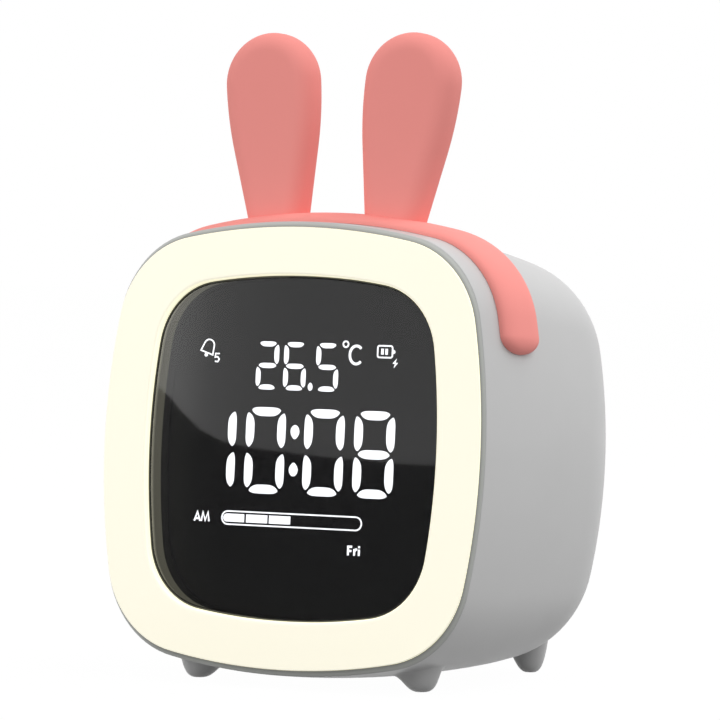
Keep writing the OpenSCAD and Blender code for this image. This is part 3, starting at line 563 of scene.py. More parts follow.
# The base colour darkens with depth as painted shade, and the emission ramp over the skirt is painted
# light.
tree.shader(
    Base_Color=tree.mixed(painted_shade_share, milk, linear(30, 30, 24)),
    Roughness=0.42 + cloud * 0.06,
    Normal=tree.bump(tree.noise(place, PORE_SCALE, 2.0), PORE_RELIEF),
    Emission_Color=tree.ramp(depth / INNER_SKIRT_Y, stops),
    Emission_Strength=GLOW,
)
ring_skin = round_the_face(ring_profile, 8)
piece("light_ring_diffuser", [ring_skin], diffuser, stands_for=["light_ring"])

# ---- Display --------------------------------------------------------------------------------
# The liquid crystal panel lies in a black carrier behind the window. Its lit segments show the
# time, the temperature, the alarm and battery marks and a row of bars.

LCD_Y = 7.7
MARK_T = 0.05
MARK_SHIFT = 0.31
LIT_STRENGTH = 4.6
DOT_SCALE, DOT_SHADE = 2600.0, 0.94


def lit(name, screen_colour, strength):
    """A finish that gives light, such as a lit part of the display."""
    finish, tree = new_finish(name)
    colour = linear(*screen_colour)
    shade = tree.mixed(tree.noise(tree.place(), DOT_SCALE, 1.0), scaled(colour, DOT_SHADE), colour)
    tree.shader(Base_Color=shade, Roughness=0.5, Emission_Color=shade, Emission_Strength=strength)
    return finish


def flat_part(points, y=LCD_Y, half_t=MARK_T):
    """A filled flat outline of (x, z) pairs at depth y, with a little thickness."""
    rings = [[(x, depth, z) for x, z in points] for depth in (y - half_t, y + half_t)]
    return skin(stood(rings))


def stroke(points, width, closed=False, y=LCD_Y, half_t=MARK_T):
    """A flat line of a given width through (x, z) points at depth y."""
    path = np.array(points, float)
    ahead, behind = np.roll(path, -1, 0) - path, path - np.roll(path, 1, 0)
    if not closed:
        ahead[-1], behind[0] = behind[-1], ahead[0]
    ahead /= np.linalg.norm(ahead, axis=1)[:, None]
    behind /= np.linalg.norm(behind, axis=1)[:, None]
    along = ahead + behind
    along /= np.linalg.norm(along, axis=1)[:, None]
    across = np.stack([-along[:, 1], along[:, 0]], -1)
    across *= (width / 2 / np.maximum(0.5, np.sum(along * ahead, 1)))[:, None]
    front, back = y - half_t, y + half_t
    rings = []
    for p, n in zip(path, across):
        (ax, az), (bx, bz) = p + n, p - n
        rings.append([(ax, front, az), (bx, front, bz), (bx, back, bz), (ax, back, az)])
    return skin(stood(rings), closed=closed)


def arc_points(x, z, radius, start, end, steps=14):
    """Points on an arc, its angles in degrees."""
    turns = np.radians(np.linspace(start, end, steps))
    return [(x + radius * math.cos(a), z + radius * math.sin(a)) for a in turns]


def stadium(x, z, width, height, steps=12):
    """A slot with round ends."""
    radius, reach = height / 2, (width - height) / 2
    right = arc_points(x + reach, z, radius, -90, 90, steps)
    return right + arc_points(x - reach, z, radius, 90, 270, steps)


def box(left, right, low, high):
    return [(left, low), (right, low), (right, high), (left, high)]


def moved(points, x, z):
    return [(x + px, z + pz) for px, pz in points]


def tilted(points, x, z, degrees):
    """Points turned about the middle of a mark and moved to x and z."""
    c, s = math.cos(math.radians(degrees)), math.sin(math.radians(degrees))
    return moved([(px * c - pz * s, px * s + pz * c) for px, pz in points], x, z)


# Powers that shape a lit segment's two edges: the higher, the longer an edge stays straight.
OUTER_BOW, INNER_BOW, BOW_END = 5, 3.6, 0.8


def segment(length, width, lean_start, lean_end, steps=16):
    """Outline of an upright lit segment: bowed edges that run into a tip at each end. The tips lean
    by a share of the half width towards the digit's outside."""
    along = np.sin(np.linspace(-math.pi / 2, math.pi / 2, steps))
    tip = (lean_start + (lean_end - lean_start) * (along + 1) / 2) * width / 2
    outer = tip + (width / 2 - tip) * (1 - np.abs(along) ** OUTER_BOW) ** BOW_END
    inner = tip - (width / 2 + tip) * (1 - np.abs(along) ** INNER_BOW) ** BOW_END
    right = list(zip(outer, along * length / 2))
    left = list(zip(inner[1:-1], along[1:-1] * length / 2))[::-1]
    return right + left


# Each segment's place in shares of the digit's half width and half height, its turn in degrees, its
# length as a share of the half width, or of the half height where it stands, and its tips' lean.
SEGMENTS = {
    "a": (0, 1, 90, 1.84, (0.35, 0.35)),
    "b": (1, 0.525, 0, 0.89, (0.15, 0.5)),
    "c": (1, -0.525, 0, 0.89, (0.15, 0.5)),
    "d": (0, -1, -90, 1.84, (0.35, 0.35)),
    "e": (-1, -0.525, 180, 0.89, (0.5, 0.15)),
    "f": (-1, 0.525, 180, 0.89, (0.5, 0.15)),
    "g": (0, 0, 90, 1.98, (0.0, 0.0)),
}
DIGITS = {"0": "abcdef", "1": "bc", "2": "abged", "5": "afgcd", "6": "afgecd", "8": "abcdefg"}
LYING_WIDTH = 0.95


def digits(places, z, half_w, half_h, width):
    """The lit segments of digits of one size, given as pairs of a digit and its place."""
    parts = []
    for value, x in places:
        for across, up, turn, share, leans in (SEGMENTS[key] for key in DIGITS[value]):
            length, thick = (share * half_h, width) if across else (share * half_w, width * LYING_WIDTH)
            outline = segment(length, thick, *leans)
            parts.append(flat_part(tilted(outline, x + across * half_w, z + up * half_h, turn)))
    return parts


# A dot's step in degrees, and the power and the share by which it narrows towards its tip.
DOT_TURN, TIP_BOW, TIP_PINCH = 15, 1.6, 0.35


def drop(x, z, width, height, tip):
    """A round dot drawn out to a tip above (1) or below (-1)."""
    points = []
    for a in np.radians(np.arange(0, 360, DOT_TURN)):
        up = math.sin(a)
        pull = max(0.0, up * tip) ** TIP_BOW
        points.append((x + width / 2 * math.cos(a) * (1 - TIP_PINCH * pull), z + height / 2 * up))
    return flat_part(points)


def drawn(lines, x, z, width):
    """Letters drawn as strokes, their middle at x and z."""
    return [stroke(moved(line, x, z), width) for line in lines]


# The marks' places and sizes are in mm from the window's middle.
FINE_LINE, CASE_LINE, LETTER_C_LINE = 0.28, 0.3, 0.52
TIME_Z, TIME_HALF_W, TIME_HALF_H, TIME_STROKE = -0.57, 3.47, 7.55, 1.86
time_digits = [("1", -20.32), ("0", -9.38), ("0", 3.54), ("8", 14.48)]
time_parts = digits(time_digits, TIME_Z, TIME_HALF_W, TIME_HALF_H, TIME_STROKE)
time_parts += [drop(-2.92, 3.22, 1.95, 2.75, -1), drop(-2.92, -4.05, 1.95, 2.65, 1)]

HEAT_Z, HEAT_HALF_W, HEAT_HALF_H, HEAT_STROKE = 16.0, 1.95, 4.2, 1.06
heat_digits = [("2", -9.66), ("6", -3.6), ("5", 3.5)]
heat_parts = digits(heat_digits, HEAT_Z, HEAT_HALF_W, HEAT_HALF_H, HEAT_STROKE)
heat_parts.append(drop(-0.03, 12.15, 1.05, 1.55, 1))
degree_ring = arc_points(7.38, 20.6, 0.57, 0, 345, 16)
letter_c = [(1.42 * px, 1.75 * pz) for px, pz in arc_points(0, 0, 1, 45, 315, 22)]
heat_parts.append(stroke(degree_ring, CASE_LINE, closed=True))
heat_parts.append(stroke(moved(letter_c, 9.75, 18.58), LETTER_C_LINE))

BATTERY_CORNER_R, BATTERY_BAR_W = 0.4, 0.55
battery_case = []
for i, (x, z) in enumerate(((17.15, 20.1), (14.75, 20.1), (14.75, 18.65), (17.15, 18.65))):
    battery_case += arc_points(x, z, BATTERY_CORNER_R, 90 * i, 90 * i + 90, 5)
battery_pole = [(17.7, 18.95), (18.15, 19.15), (18.15, 19.6), (17.7, 19.8)]
battery_bars = [box(x, x + BATTERY_BAR_W, 18.8, 19.95) for x in (15.1, 16.0)]
flash = [(18.55, 18.1), (17.65, 17.1), (18.2, 17.1), (17.95, 16.25), (18.85, 17.3), (18.3, 17.3)]
battery_parts = [stroke(battery_case, CASE_LINE, closed=True)]
battery_parts += [flat_part(outline) for outline in (battery_pole, *battery_bars, flash)]

BELL_PLACE = (-22.95, 19.25, -18)
bell_crown = arc_points(0, 0.4, 1.12, 170, 10, 11)
bell_outline = [(-1.4, -1.15), (-1.2, 0.0), *bell_crown, (1.2, 0.0), (1.4, -1.15)]
clapper = arc_points(0, -1.6, 0.38, 0, 340, 10)
FIVE = [[(0.5, 0.82), (-0.36, 0.82), (-0.46, 0.1), (0.1, 0.2), (0.46, -0.28), (0.12, -0.78), (-0.5, -0.7)]]
alarm_parts = [stroke(tilted(bell_outline, *BELL_PLACE), FINE_LINE, closed=True)]
alarm_parts += [flat_part(tilted(clapper, *BELL_PLACE)), *drawn(FIVE, -20.93, 17.2, 0.27)]

BAR_X, BAR_Z, BAR_CASE_W, BAR_CASE_H, BAR_HALF_W, BAR_HALF_H = -2.87, -13.97, 30.76, 2.56, 2.35, 0.79
bar_low, bar_high = BAR_Z - BAR_HALF_H, BAR_Z + BAR_HALF_H
bar_case = stadium(BAR_X, BAR_Z, BAR_CASE_W, BAR_CASE_H)
FIRST_BAR_FROM, FIRST_BAR_TO, BAR_XS = -17.15, -13.28, (-10.5, -5.42)
first_bar = arc_points(FIRST_BAR_FROM, BAR_Z, BAR_HALF_H, 90, 270, 10)
first_bar += [(FIRST_BAR_TO, bar_low), (FIRST_BAR_TO, bar_high)]
bar_parts = [stroke(bar_case, FINE_LINE, closed=True), flat_part(first_bar)]
bar_parts += [flat_part(box(x - BAR_HALF_W, x + BAR_HALF_W, bar_low, bar_high)) for x in BAR_XS]

MORNING = [
    [(-1.65, -0.89), (-1.0, 0.89), (-0.37, -0.89)],
    [(-1.42, -0.4), (-0.58, -0.4)],
    [(-0.09, -0.89), (0.24, 0.89), (0.78, -0.72), (1.36, 0.89), (1.63, -0.89)],
]
WEEKDAY = [
    [(-1.23, -0.86), (-1.23, 0.83), (-0.38, 0.83)],
    [(-1.23, 0.0), (-0.5, 0.0)],
    [(0.12, -0.86), (0.12, 0.4)],
    [(0.12, -0.05), (0.38, 0.33), (0.75, 0.36)],
    [(1.14, -0.86), (1.14, 0.35)],
    [(1.14, 0.62), (1.14, 1.0)],
]
day_parts = drawn(MORNING, -22.75, -14.0, 0.36) + drawn(WEEKDAY, 11.1, -19.25, 0.42)

# The lens bends the view, so the marks are moved aside by as much.
white_lit = lit("white_lit_segments", (250, 252, 255), LIT_STRENGTH)
for name, parts in (
    ("time_segments", time_parts),
    ("temperature_segments", heat_parts),
    ("alarm_mark", alarm_parts),
    ("battery_mark", battery_parts),
    ("bar_mark", bar_parts),
    ("day_marks", day_parts),
):
    shifted = [(np.array(points) + (MARK_SHIFT / 1000, 0, 0), faces) for points, faces in parts]
    piece(name, shifted, white_lit)


def refinish(finish, *names):
    """Gives CAD nodes that stay as they are a finish of their own."""
    for name in names:
        for i in range(len(nodes[name].data.materials)):
            nodes[name].data.materials[i] = finish


refinish(moulded("dark_panel_glass", (22, 23, 24), 0.4, 0.5, 0.0), "lcd_panel")
refinish(moulded("matt_black_inner_plastic", (16, 16, 16), 0.6, 0.2, 0.008), "display_carrier")

# ---- Night lamps ----------------------------------------------------------------------------
# A white ring board in the light ring's channel carries sixteen small warm lamps, each shown as a glowing
# yellow drop. They are soldered on at even steps along each side.

LAMP_STEP, LAMP_MID, LAMP_BOARD_Y, LAMPS_A_SIDE = 14.0, -6.025, 5.8, 4
DROP_HALF_X, DROP_HALF_Z, DROP_H, DROP_TIP = 1.1, 1.6, 0.8, 0.08


def evaluated_mesh(draft):
    bpy.context.view_layer.update()
    return bpy.data.meshes.new_from_object(draft.evaluated_get(bpy.context.evaluated_depsgraph_get()))


def plain_result(draft):
    """The draft's evaluated shape with doubles merged, as points and faces."""
    shape = bmesh.new()
    shape.from_mesh(evaluated_mesh(draft))
    bmesh.ops.remove_doubles(shape, verts=shape.verts, dist=SAME_DRAFT_POINT)
    points = [v.co.copy() for v in shape.verts]
    faces = [tuple(v.index for v in f.verts) for f in shape.faces]
    shape.free()
    bpy.data.objects.remove(draft)
    return points, faces


def inputs_of(group, draft, values):
    """Puts a Geometry Nodes tree on the draft and sets its named inputs."""
    modifier = draft.modifiers.new(group.name, "NODES")
    modifier.node_group = group
    for item in group.interface.items_tree:
        if item.item_type == "SOCKET" and item.in_out == "INPUT" and item.name in values:
            modifier[item.identifier] = values[item.name]


def new_group(name, inputs):
    """An empty Geometry Nodes tree with a Geometry input and output and further named inputs."""
    group = bpy.data.node_groups.new(name, "GeometryNodeTree")
    for way in ("INPUT", "OUTPUT"):
        group.interface.new_socket("Geometry", in_out=way, socket_type="NodeSocketGeometry")
    for key, kind in inputs.items():
        group.interface.new_socket(key, in_out="INPUT", socket_type="NodeSocket" + kind)
    tree = Tree(group)
    given = {key: tree.add("NodeGroupInput", output=key) for key in ["Geometry", *inputs]}
    return group, tree, given


def end_group(tree, geometry, finish):
    """Realizes the instances, sets the material and joins the tree's output."""
    real = tree.add("GeometryNodeRealizeInstances", {}, {"Geometry": geometry})
    done = tree.add("GeometryNodeSetMaterial", {}, {"Geometry": real, "Material": finish})
    tree.add("NodeGroupOutput", {}, {"Geometry": done})


def instanced(name, points, turns, template, finish, tree_name):
    """Copies of a template at upright points in mm, each turned about the depth, as one mesh."""
    group, tree, given = new_group(tree_name, {"Template": "Object"})
    turn = tree.add("GeometryNodeInputNamedAttribute", {"data_type": "FLOAT"}, {"Name": "turn"})
    spin = tree.add("ShaderNodeCombineXYZ", {}, {"Y": turn})
    model = tree.add("GeometryNodeObjectInfo", {}, {"Object": given["Template"]}, output="Geometry")
    sockets = {"Points": given["Geometry"], "Instance": model, "Rotation": spin}
    end_group(tree, tree.add("GeometryNodeInstanceOnPoints", {}, sockets), finish)
    draft = in_scene(name, bpy.data.meshes.new(name))
    draft.data.from_pydata([[v / 1000 for v in point] for point in points], [], [])
    draft.data.attributes.new("turn", "FLOAT", "POINT").data.foreach_set("value", list(turns))
    inputs_of(group, draft, {"Template": template})
    points, faces = plain_result(draft)
    bpy.data.objects.remove(template)
    return stood(np.array(points) * 1000), faces


def template_of(parts):
    """An object that holds closed parts drawn in mm round the origin."""
    mesh = bpy.data.meshes.new("template")
    points, faces = [], []
    for part_points, part_faces in parts:
        faces += [tuple(i + len(points) for i in face) for face in part_faces]
        points += [[v / 1000 for v in point] for point in np.asarray(part_points).tolist()]
    mesh.from_pydata(points, [], faces)
    return in_scene("template", mesh)


def fall_of_side(along):
    """How far a bowed side has fallen back at a distance from its middle."""
    return SIDE_R - math.sqrt(SIDE_R**2 - along * along)


lamp_places, lamp_turns = [], []
for side in (-1, 1):
    for i in range(LAMPS_A_SIDE):
        along = (i - (LAMPS_A_SIDE - 1) / 2) * LAMP_STEP
        inwards = LAMP_MID - fall_of_side(along)
        lamp_places.append((side * (HALF_W + inwards), LAMP_BOARD_Y, along))
        lamp_places.append((along, LAMP_BOARD_Y, side * (HALF_H + inwards)))
        lamp_turns += [0.0, math.pi / 2]
warm_lamp = lit("warm_yellow_lamp", (255, 236, 170), 1.0)
drop_profile = [(DROP_HALF_X * max(DROP_TIP, math.cos(a)), -DROP_H * math.sin(a)) for a in quarter_arc(4)]
oval_drop = skin(turned(drop_profile, 24) * (1.0, 1.0, DROP_HALF_Z / DROP_HALF_X))
lamp_template = template_of([oval_drop])
lamps = instanced("lamps", lamp_places, lamp_turns, lamp_template, warm_lamp, "lamps_on_board")
piece("night_lamp_drops", [lamps], warm_lamp, stands_for=["night_lamps"])
refinish(moulded("white_lamp_board_lacquer", (233, 233, 228), 0.4, 0.6, 0.002), "lamp_board")

# ---- Window ---------------------------------------------------------------------------------
# A smoked acrylic lens with a small polished chamfer, set back from the ring in a thin black
# gasket.

TRIM_T, TRIM_D, TRIM_EDGE = 0.24, 0.55, 0.06
trim_out = -RING_W - SEAT
trim_corners = box(trim_out - TRIM_T, trim_out, LENS_Y, LENS_Y + TRIM_D)
trim_profile = [(out, y, TRIM_EDGE) for out, y in trim_corners[1:] + trim_corners[:1]]
gasket_rubber = moulded("soft_black_gasket", (80, 80, 68), 0.55, 0.15, 0.005)
gasket = round_the_face(trim_profile, 3)
piece("window_gasket", [gasket], gasket_rubber, stands_for=["lens_trim"])

CHAMFER, FACE_STEP = 0.2, 0.6
lens_out = trim_out - TRIM_T - SEAT
lens_steps = [
    (lens_out - CHAMFER - FACE_STEP, LENS_Y),
    (lens_out - CHAMFER, LENS_Y),
    (lens_out, LENS_Y + CHAMFER),
    (lens_out, LENS_Y + LENS_T),
]
SMOKE, POLISH, ACRYLIC_IOR = (0.3, 0.3, 0.305, 1.0), 0.02, 1.42
smoked_acrylic, tree = new_finish("smoked_acrylic")
tree.shader(Base_Color=SMOKE, Roughness=POLISH, IOR=ACRYLIC_IOR, Transmission_Weight=1.0)
lens = skin(stood([face_ring(out, y) for out, y in lens_steps]))
piece("window_lens", [lens], smoked_acrylic, stands_for=["display_lens"], sharp=20)

# ---- Boards and battery ---------------------------------------------------------------------
# Everything that the closed housing hides: the lacquered boards with their parts, the flat cell on
# its foam tape, the display's light and contact strip, and the wires. They keep their solid shapes.

chip_black = moulded("black_chip_resin", (30, 30, 32), 0.5, 0.1)
board_green = moulded("green_board_lacquer", (38, 96, 62), 0.35, 1.2, 0.01, 0.12)
refinish(board_green, "main_board", "button_board", "usb_board")
refinish(chip_black, "clock_chip", "temperature_sensor")
refinish(moulded("can_grey_foil", (120, 126, 140), 0.35, Metallic=0.6), "board_parts")
refinish(moulded("sensor_copper", (214, 160, 112), 0.35, Metallic=1.0), "tap_sensor")
refinish(moulded("ivory_socket_nylon", (236, 233, 220), 0.5), "board_sockets")
refinish(moulded("cell_foil_wrap", (138, 158, 196), 0.3, 1.5, 0.03), "battery_cell")
refinish(moulded("white_foam_tape", (235, 235, 232), 0.9, 0.4, 0.05), "battery_tape")
refinish(moulded("red_lead_jacket", (196, 48, 40), 0.45), "battery_leads", "charge_leads")
refinish(moulded("black_lead_jacket", (34, 34, 36), 0.45), "speaker_leads")
refinish(moulded("white_ribbon_film", (232, 232, 224), 0.4), "ribbon_cable")
refinish(moulded("striped_contact_rubber", (216, 128, 136), 0.8), "lcd_contact_strip")
refinish(moulded("white_backlight_film", (242, 242, 238), 0.4), "backlight_panel")
refinish(moulded("black_switch_case", (54, 54, 58), 0.4), "tact_switches")

# ---- Rear cover -----------------------------------------------------------------------------
# A flat plate of the shell's plastic, sunk into the rear opening and screwed down at its corners.
# It has holes for the keys, the sound and the charging socket, and a small raised sign over each key.

COVER_Y, COVER_EDGE = BODY_D - COVER_T, 0.18
KEY_XS, KEY_R = (-16.0, -8.0, 0.0, 8.0, 16.0), 2.9
SPEAKER_X, SPEAKER_Z, HOLE_R, HOLE_PITCH, HOLE_RINGS = -8.0, -8.0, 0.75, 2.4, 4
USB_X, USB_Z, USB_W, USB_H = 13.0, -8.0, 9.0, 3.2
HEAD_R, HEAD_H, SHANK_R, HOLE_SLACK = 1.6, 1.1, 0.9, 0.2


def circle(x, z, radius, steps=32):
    turns = np.arange(steps) / steps * 2 * math.pi
    return [(x + radius * math.cos(a), z + radius * math.sin(a)) for a in turns]


def pierced_plate(outlines, front, back, edge):
    """A plate between two depths with rounded edges, its first outline pierced by the others."""
    curve = bpy.data.curves.new("plate", "CURVE")
    curve.dimensions, curve.fill_mode = "2D", "BOTH"
    curve.extrude = (back - front) / 2 - edge
    curve.bevel_depth, curve.bevel_resolution, curve.offset = edge, 2, -edge
    for outline in outlines:
        spline = curve.splines.new("POLY")
        spline.points.add(len(outline) - 1)
        spline.points.foreach_set("co", [v for x, z in outline for v in (x, z, 0.0, 1.0)])
        spline.use_cyclic_u = True
    draft = in_scene("plate", curve)
    mesh = evaluated_mesh(draft)
    points = [(v.co.x, (front + back) / 2 - v.co.z, v.co.y) for v in mesh.vertices]
    faces = [tuple(p.vertices) for p in mesh.polygons]
    bpy.data.objects.remove(draft)
    return points, faces


def stood_plate(outlines, front, back, edge):
    """A pierced plate of the upright clock, in its place."""
    points, faces = pierced_plate(outlines, front, back, edge)
    return stood(points), faces


cover_outline = [(x, z) for x, y, z in outline_ring(COVER_W / 2, COVER_H / 2, COVER_CORNER_R, 0)]
cover_cuts = [circle(x, KEY_Z, KEY_R + SLIP, 40) for x in KEY_XS]
cover_cuts.append(stadium(USB_X, USB_Z, USB_W + 2 * SLIP, USB_H + 2 * SLIP))
cover_cuts += [circle(x, z, HEAD_R + HOLE_SLACK) for x, z in cover_post_places]
for ring in range(HOLE_RINGS):
    count = max(1, 6 * ring)
    for x, z in circle(SPEAKER_X, SPEAKER_Z, ring * HOLE_PITCH, count):
        cover_cuts.append(circle(x, z, HOLE_R, 20))
cover_parts = [stood_plate([cover_outline, *cover_cuts], COVER_Y, BODY_D, COVER_EDGE)]

# Behind the plate are the cups for the screws' heads, two posts for the key board, and two rails
# that hold the charging board.
HEAD_SINK, LAP = 0.1, 0.02
seat_y = BODY_D - HEAD_H - HEAD_SINK
CUP_R, CUP_BORE_R = HEAD_R + HOLE_SLACK + LAP, SHANK_R + HOLE_SLACK
for x, z in cover_post_places:
    cover_parts.append(tube(x, z, COVER_Y, seat_y - COVER_Y, CUP_R, CUP_BORE_R))
BOARD_POST_X, BOARD_POST_Z, BOARD_POST_R, KEY_BOARD_BACK = 8.0, 14.6, 1.9, 61.2
board_post_y, board_post_l = KEY_BOARD_BACK + SEAT, COVER_Y - KEY_BOARD_BACK
for x in (-BOARD_POST_X, BOARD_POST_X):
    cover_parts.append(tube(x, BOARD_POST_Z, board_post_y, board_post_l, BOARD_POST_R, BORE_R))
USB_BOARD_Z, RAIL_X, RAIL_FRONT, RAIL_W, RAIL_H, RAIL_EDGE = -10.25, 7.65, 58.75, 1.2, 3.2, 0.1


def rail(x, z, front, back):
    """A straight bar along the depth with a slightly broken edge."""
    w, h, cut = RAIL_W / 2, RAIL_H / 2, RAIL_EDGE
    ring = [(w - cut, -h), (w, cut - h), (w, h - cut), (w - cut, h)]
    ring += [(-px, -pz) for px, pz in ring]
    return skin(stood([[(px, y, pz) for px, pz in moved(ring, x, z)] for y in (front, back)]))


for s in (-1, 1):
    cover_parts.append(rail(USB_X + s * RAIL_X, USB_BOARD_Z, RAIL_FRONT, COVER_Y + 0.1))

# The signs are a clock face, a bell, two arrowheads and a sun. Each has filled outlines, and lines
# that are open or closed.
SIGN_Z, SIGN_HALF_T, SIGN_W = 13.9, 0.14, 0.34
dial = arc_points(0, 0, 1.25, 0, 345, 24)
hands = [(0, 0.75), (0, -0.05), (-0.6, -0.05)]
bell = [(-1.25, -0.85), (-0.95, 0.0), *arc_points(0, 0.25, 0.95, 165, 15, 9), (0.95, 0.0), (1.25, -0.85)]
arrow = [(-1.25, -0.75), (1.25, -0.75), (0.0, 1.15)]
rays = [([(0.95 * c, 0.95 * s), (1.45 * c, 1.45 * s)], False) for c, s in arc_points(0, 0, 1, 0, 315, 8)]
signs = []
for x, outlines, lines in (
    (KEY_XS[0], [], [(dial, True), (hands, False)]),
    (KEY_XS[1], [circle(0, -1.25, 0.3, 12)], [(bell, True)]),
    (KEY_XS[2], [arrow], []),
    (KEY_XS[3], [[(px, -pz) for px, pz in arrow]], []),
    (KEY_XS[4], [circle(0, 0, 0.6, 20)], rays),
):
    signs += [flat_part(moved(outline, x, SIGN_Z), BODY_D, SIGN_HALF_T) for outline in outlines]
    signs += [stroke(moved(line, x, SIGN_Z), SIGN_W, closed, BODY_D, SIGN_HALF_T) for line, closed in lines]
sign_ink = moulded("mid_grey_sign_ink", (112, 114, 116), 0.5, 0.15, 0.003)
piece("key_signs", signs, sign_ink)
piece(
    "rear_cover_plate", cover_parts, shell_plastic, stands_for=["rear_cover"], sharp=13
)

# ---- Keys -----------------------------------------------------------------------------------
# Five round rubber-coated keys with a shallow dish for the finger. Each has a flange that holds it
# behind the cover and a short stem that presses its switch.

CAP_Y, FLANGE_Y, STEM_Y, CAP_EDGE = BODY_D + KEY_PROUD, 66.75, 65.65, 0.4
STEM_R, FLANGE_R, FLANGE_T, KEY_EDGE = 1.5, 3.7, 1.0, 0.1
DISH, DISH_R, DISH_BOW, AXIS_R = 0.22, 2.3, 1.5, 0.4
flange_end = FLANGE_Y + FLANGE_T
key_profile = [
    (AXIS_R, STEM_Y),
    (STEM_R - KEY_EDGE, STEM_Y),
    (STEM_R, STEM_Y + KEY_EDGE),
    (STEM_R, FLANGE_Y),
    (FLANGE_R - KEY_EDGE, FLANGE_Y),
    (FLANGE_R, FLANGE_Y + KEY_EDGE),
    (FLANGE_R, flange_end - KEY_EDGE),
    (FLANGE_R - KEY_EDGE, flange_end),
    (KEY_R, flange_end),
]
for a in quarter_arc(6):
    key_profile.append((KEY_R - CAP_EDGE * (1 - math.cos(a)), CAP_Y - CAP_EDGE * (1 - math.sin(a))))
for r in (DISH_R, 2.1, 1.9, 1.6, 1.2, 0.8, AXIS_R):
    key_profile.append((r, CAP_Y - DISH * (1 - (r / DISH_R) ** 2) ** DISH_BOW))
key_rubber = moulded("light_grey_key_rubber", (214, 214, 212), 0.6, 0.2, 0.006)
for use, x in zip(("set", "alarm", "up", "down", "light"), KEY_XS):
    key = turned_at(x, KEY_Z, key_profile, 48)
    node = "button_" + use
    piece(use + "_key_cap", [key], key_rubber, use + "_key", [node], sharp=50)

# ---- Loudspeaker ----------------------------------------------------------------------------
# A small moving coil speaker behind the sound holes: a pressed steel basket, a magnet, a black
# paper cone with pressed ribs and a foam ring against the cover.

steel = moulded("brushed_steel", (196, 197, 200), 0.32, drift=0.06, Metallic=1.0)
refinish(steel, "speaker_frame", "speaker_magnet")
refinish(moulded("black_foam_ring", (24, 24, 24), 0.95, 0.5, 0.08), "speaker_gasket")
CONE_Y, CONE_T = 66.55, 0.25
DUST_CAP_R, DUST_CAP_H, DUST_CAP_BACK = 2.5, 0.55, 1.1
RIBS_FROM, RIBS_TO, RIBS_BACK, RIB_H, RIB_TURN = 2.7, 6.6, 0.75, 0.16, 6.0
ROLL_FROM, ROLL_W, ROLL_BACK, ROLL_H = 6.7, 1.8, 0.1, 0.36
cone_profile = []
for a in quarter_arc(8)[:-1][::-1]:
    cone_profile.append((DUST_CAP_R * math.cos(a), CONE_Y - DUST_CAP_BACK + DUST_CAP_H * math.sin(a)))
for r in np.linspace(RIBS_FROM, RIBS_TO, 28):
    cone_profile.append((r, CONE_Y - RIBS_BACK + RIB_H * math.sin(r * RIB_TURN)))
for share in np.arange(11) / 10:
    roll = ROLL_H * math.sin(math.pi * share)
    cone_profile.append((ROLL_FROM + ROLL_W * share, CONE_Y - ROLL_BACK + roll))
cone_profile += [(r, y - CONE_T) for r, y in cone_profile[::-1]]
cone = turned_at(SPEAKER_X, SPEAKER_Z, cone_profile, 64)
cone_paper = moulded("black_cone_paper", (38, 37, 36), 0.85, 0.35, 0.05, 0.1)
piece("speaker_cone_ribbed", [cone], cone_paper, stands_for=["speaker_cone"], sharp=60)

# ---- Charging socket ------------------------------------------------------------------------
# A drawn steel shell with round ends round a black tongue, on a small board that slides between
# two rails of the cover. Twelve gold contacts lie on each face of the tongue.

SOCKET_Y, SOCKET_END, BASE_T, SHELL_T, SHEET_EDGE = 62.2, 69.6, 1.0, 0.3, 0.1
TONGUE_W, TONGUE_H, TONGUE_END, TONGUE_EDGE = 6.6, 0.7, 6.45, 0.12
mouth = [stadium(USB_X, USB_Z, USB_W - c, USB_H - c) for c in (0.0, 2 * SHELL_T)]
socket_parts = [
    stood_plate(mouth, SOCKET_Y + BASE_T - SHEET_EDGE, SOCKET_END, SHEET_EDGE),
    stood_plate(mouth[:1], SOCKET_Y, SOCKET_Y + BASE_T, SHEET_EDGE),
]
piece("charging_socket_shell", socket_parts, steel, stands_for=["usb_socket"], sharp=50)
tongue_outline = stadium(USB_X, USB_Z, TONGUE_W, TONGUE_H, 6)
tongue = stood_plate([tongue_outline], SOCKET_Y + BASE_T + SEAT, SOCKET_Y + TONGUE_END, TONGUE_EDGE)
piece("charging_tongue", [tongue], chip_black, stands_for=["usb_tongue"])

CONTACT_COUNT, CONTACT_PITCH, CONTACT_FROM, CONTACT_L = 12, 0.5, 2.4, 3.6
CONTACT_HALF_W, CONTACT_HALF_T = 0.13, 0.03
contact_end = box(-CONTACT_HALF_W, CONTACT_HALF_W, -CONTACT_HALF_T, CONTACT_HALF_T)
contact = template_of([skin([[(x, y, z) for x, z in contact_end] for y in (0, CONTACT_L)])])
contact_places = []
for i in range(CONTACT_COUNT):
    x = USB_X + CONTACT_PITCH * (i - (CONTACT_COUNT - 1) / 2)
    contact_places += [(x, SOCKET_Y + CONTACT_FROM, USB_Z + s * TONGUE_H / 2) for s in (-1, 1)]
straight = [0.0] * len(contact_places)
gold = moulded("gold_contact_plate", (232, 196, 120), 0.3, 0.2, 0.001, Metallic=1.0)
contacts = instanced("contacts", contact_places, straight, contact, gold, "contacts_on_tongue")
piece("tongue_contacts", [contacts], gold)

# ---- Screws ---------------------------------------------------------------------------------
# Small pan head screws with a cross recess and rolled thread ridges. The four at the rear hold the
# cover in its recesses; the others hold the front stack and the boards.

CROSS_ARM, CROSS_HALF, CROSS_FLOOR, CROSS_R = 0.85, 0.22, 0.45, 1.1
PAN_BORE_R, PAN_TOP_R, PAN_SHOULDER_R, PAN_DEPTH = 0.98, 1.3, 1.5, 0.5
THREAD_PITCH, THREAD_H, THREAD_FOOT, THREAD_CREST = 0.5, 0.12, 0.1, 0.3
SHANK_NECK, SHANK_POINT = 0.06, 0.3


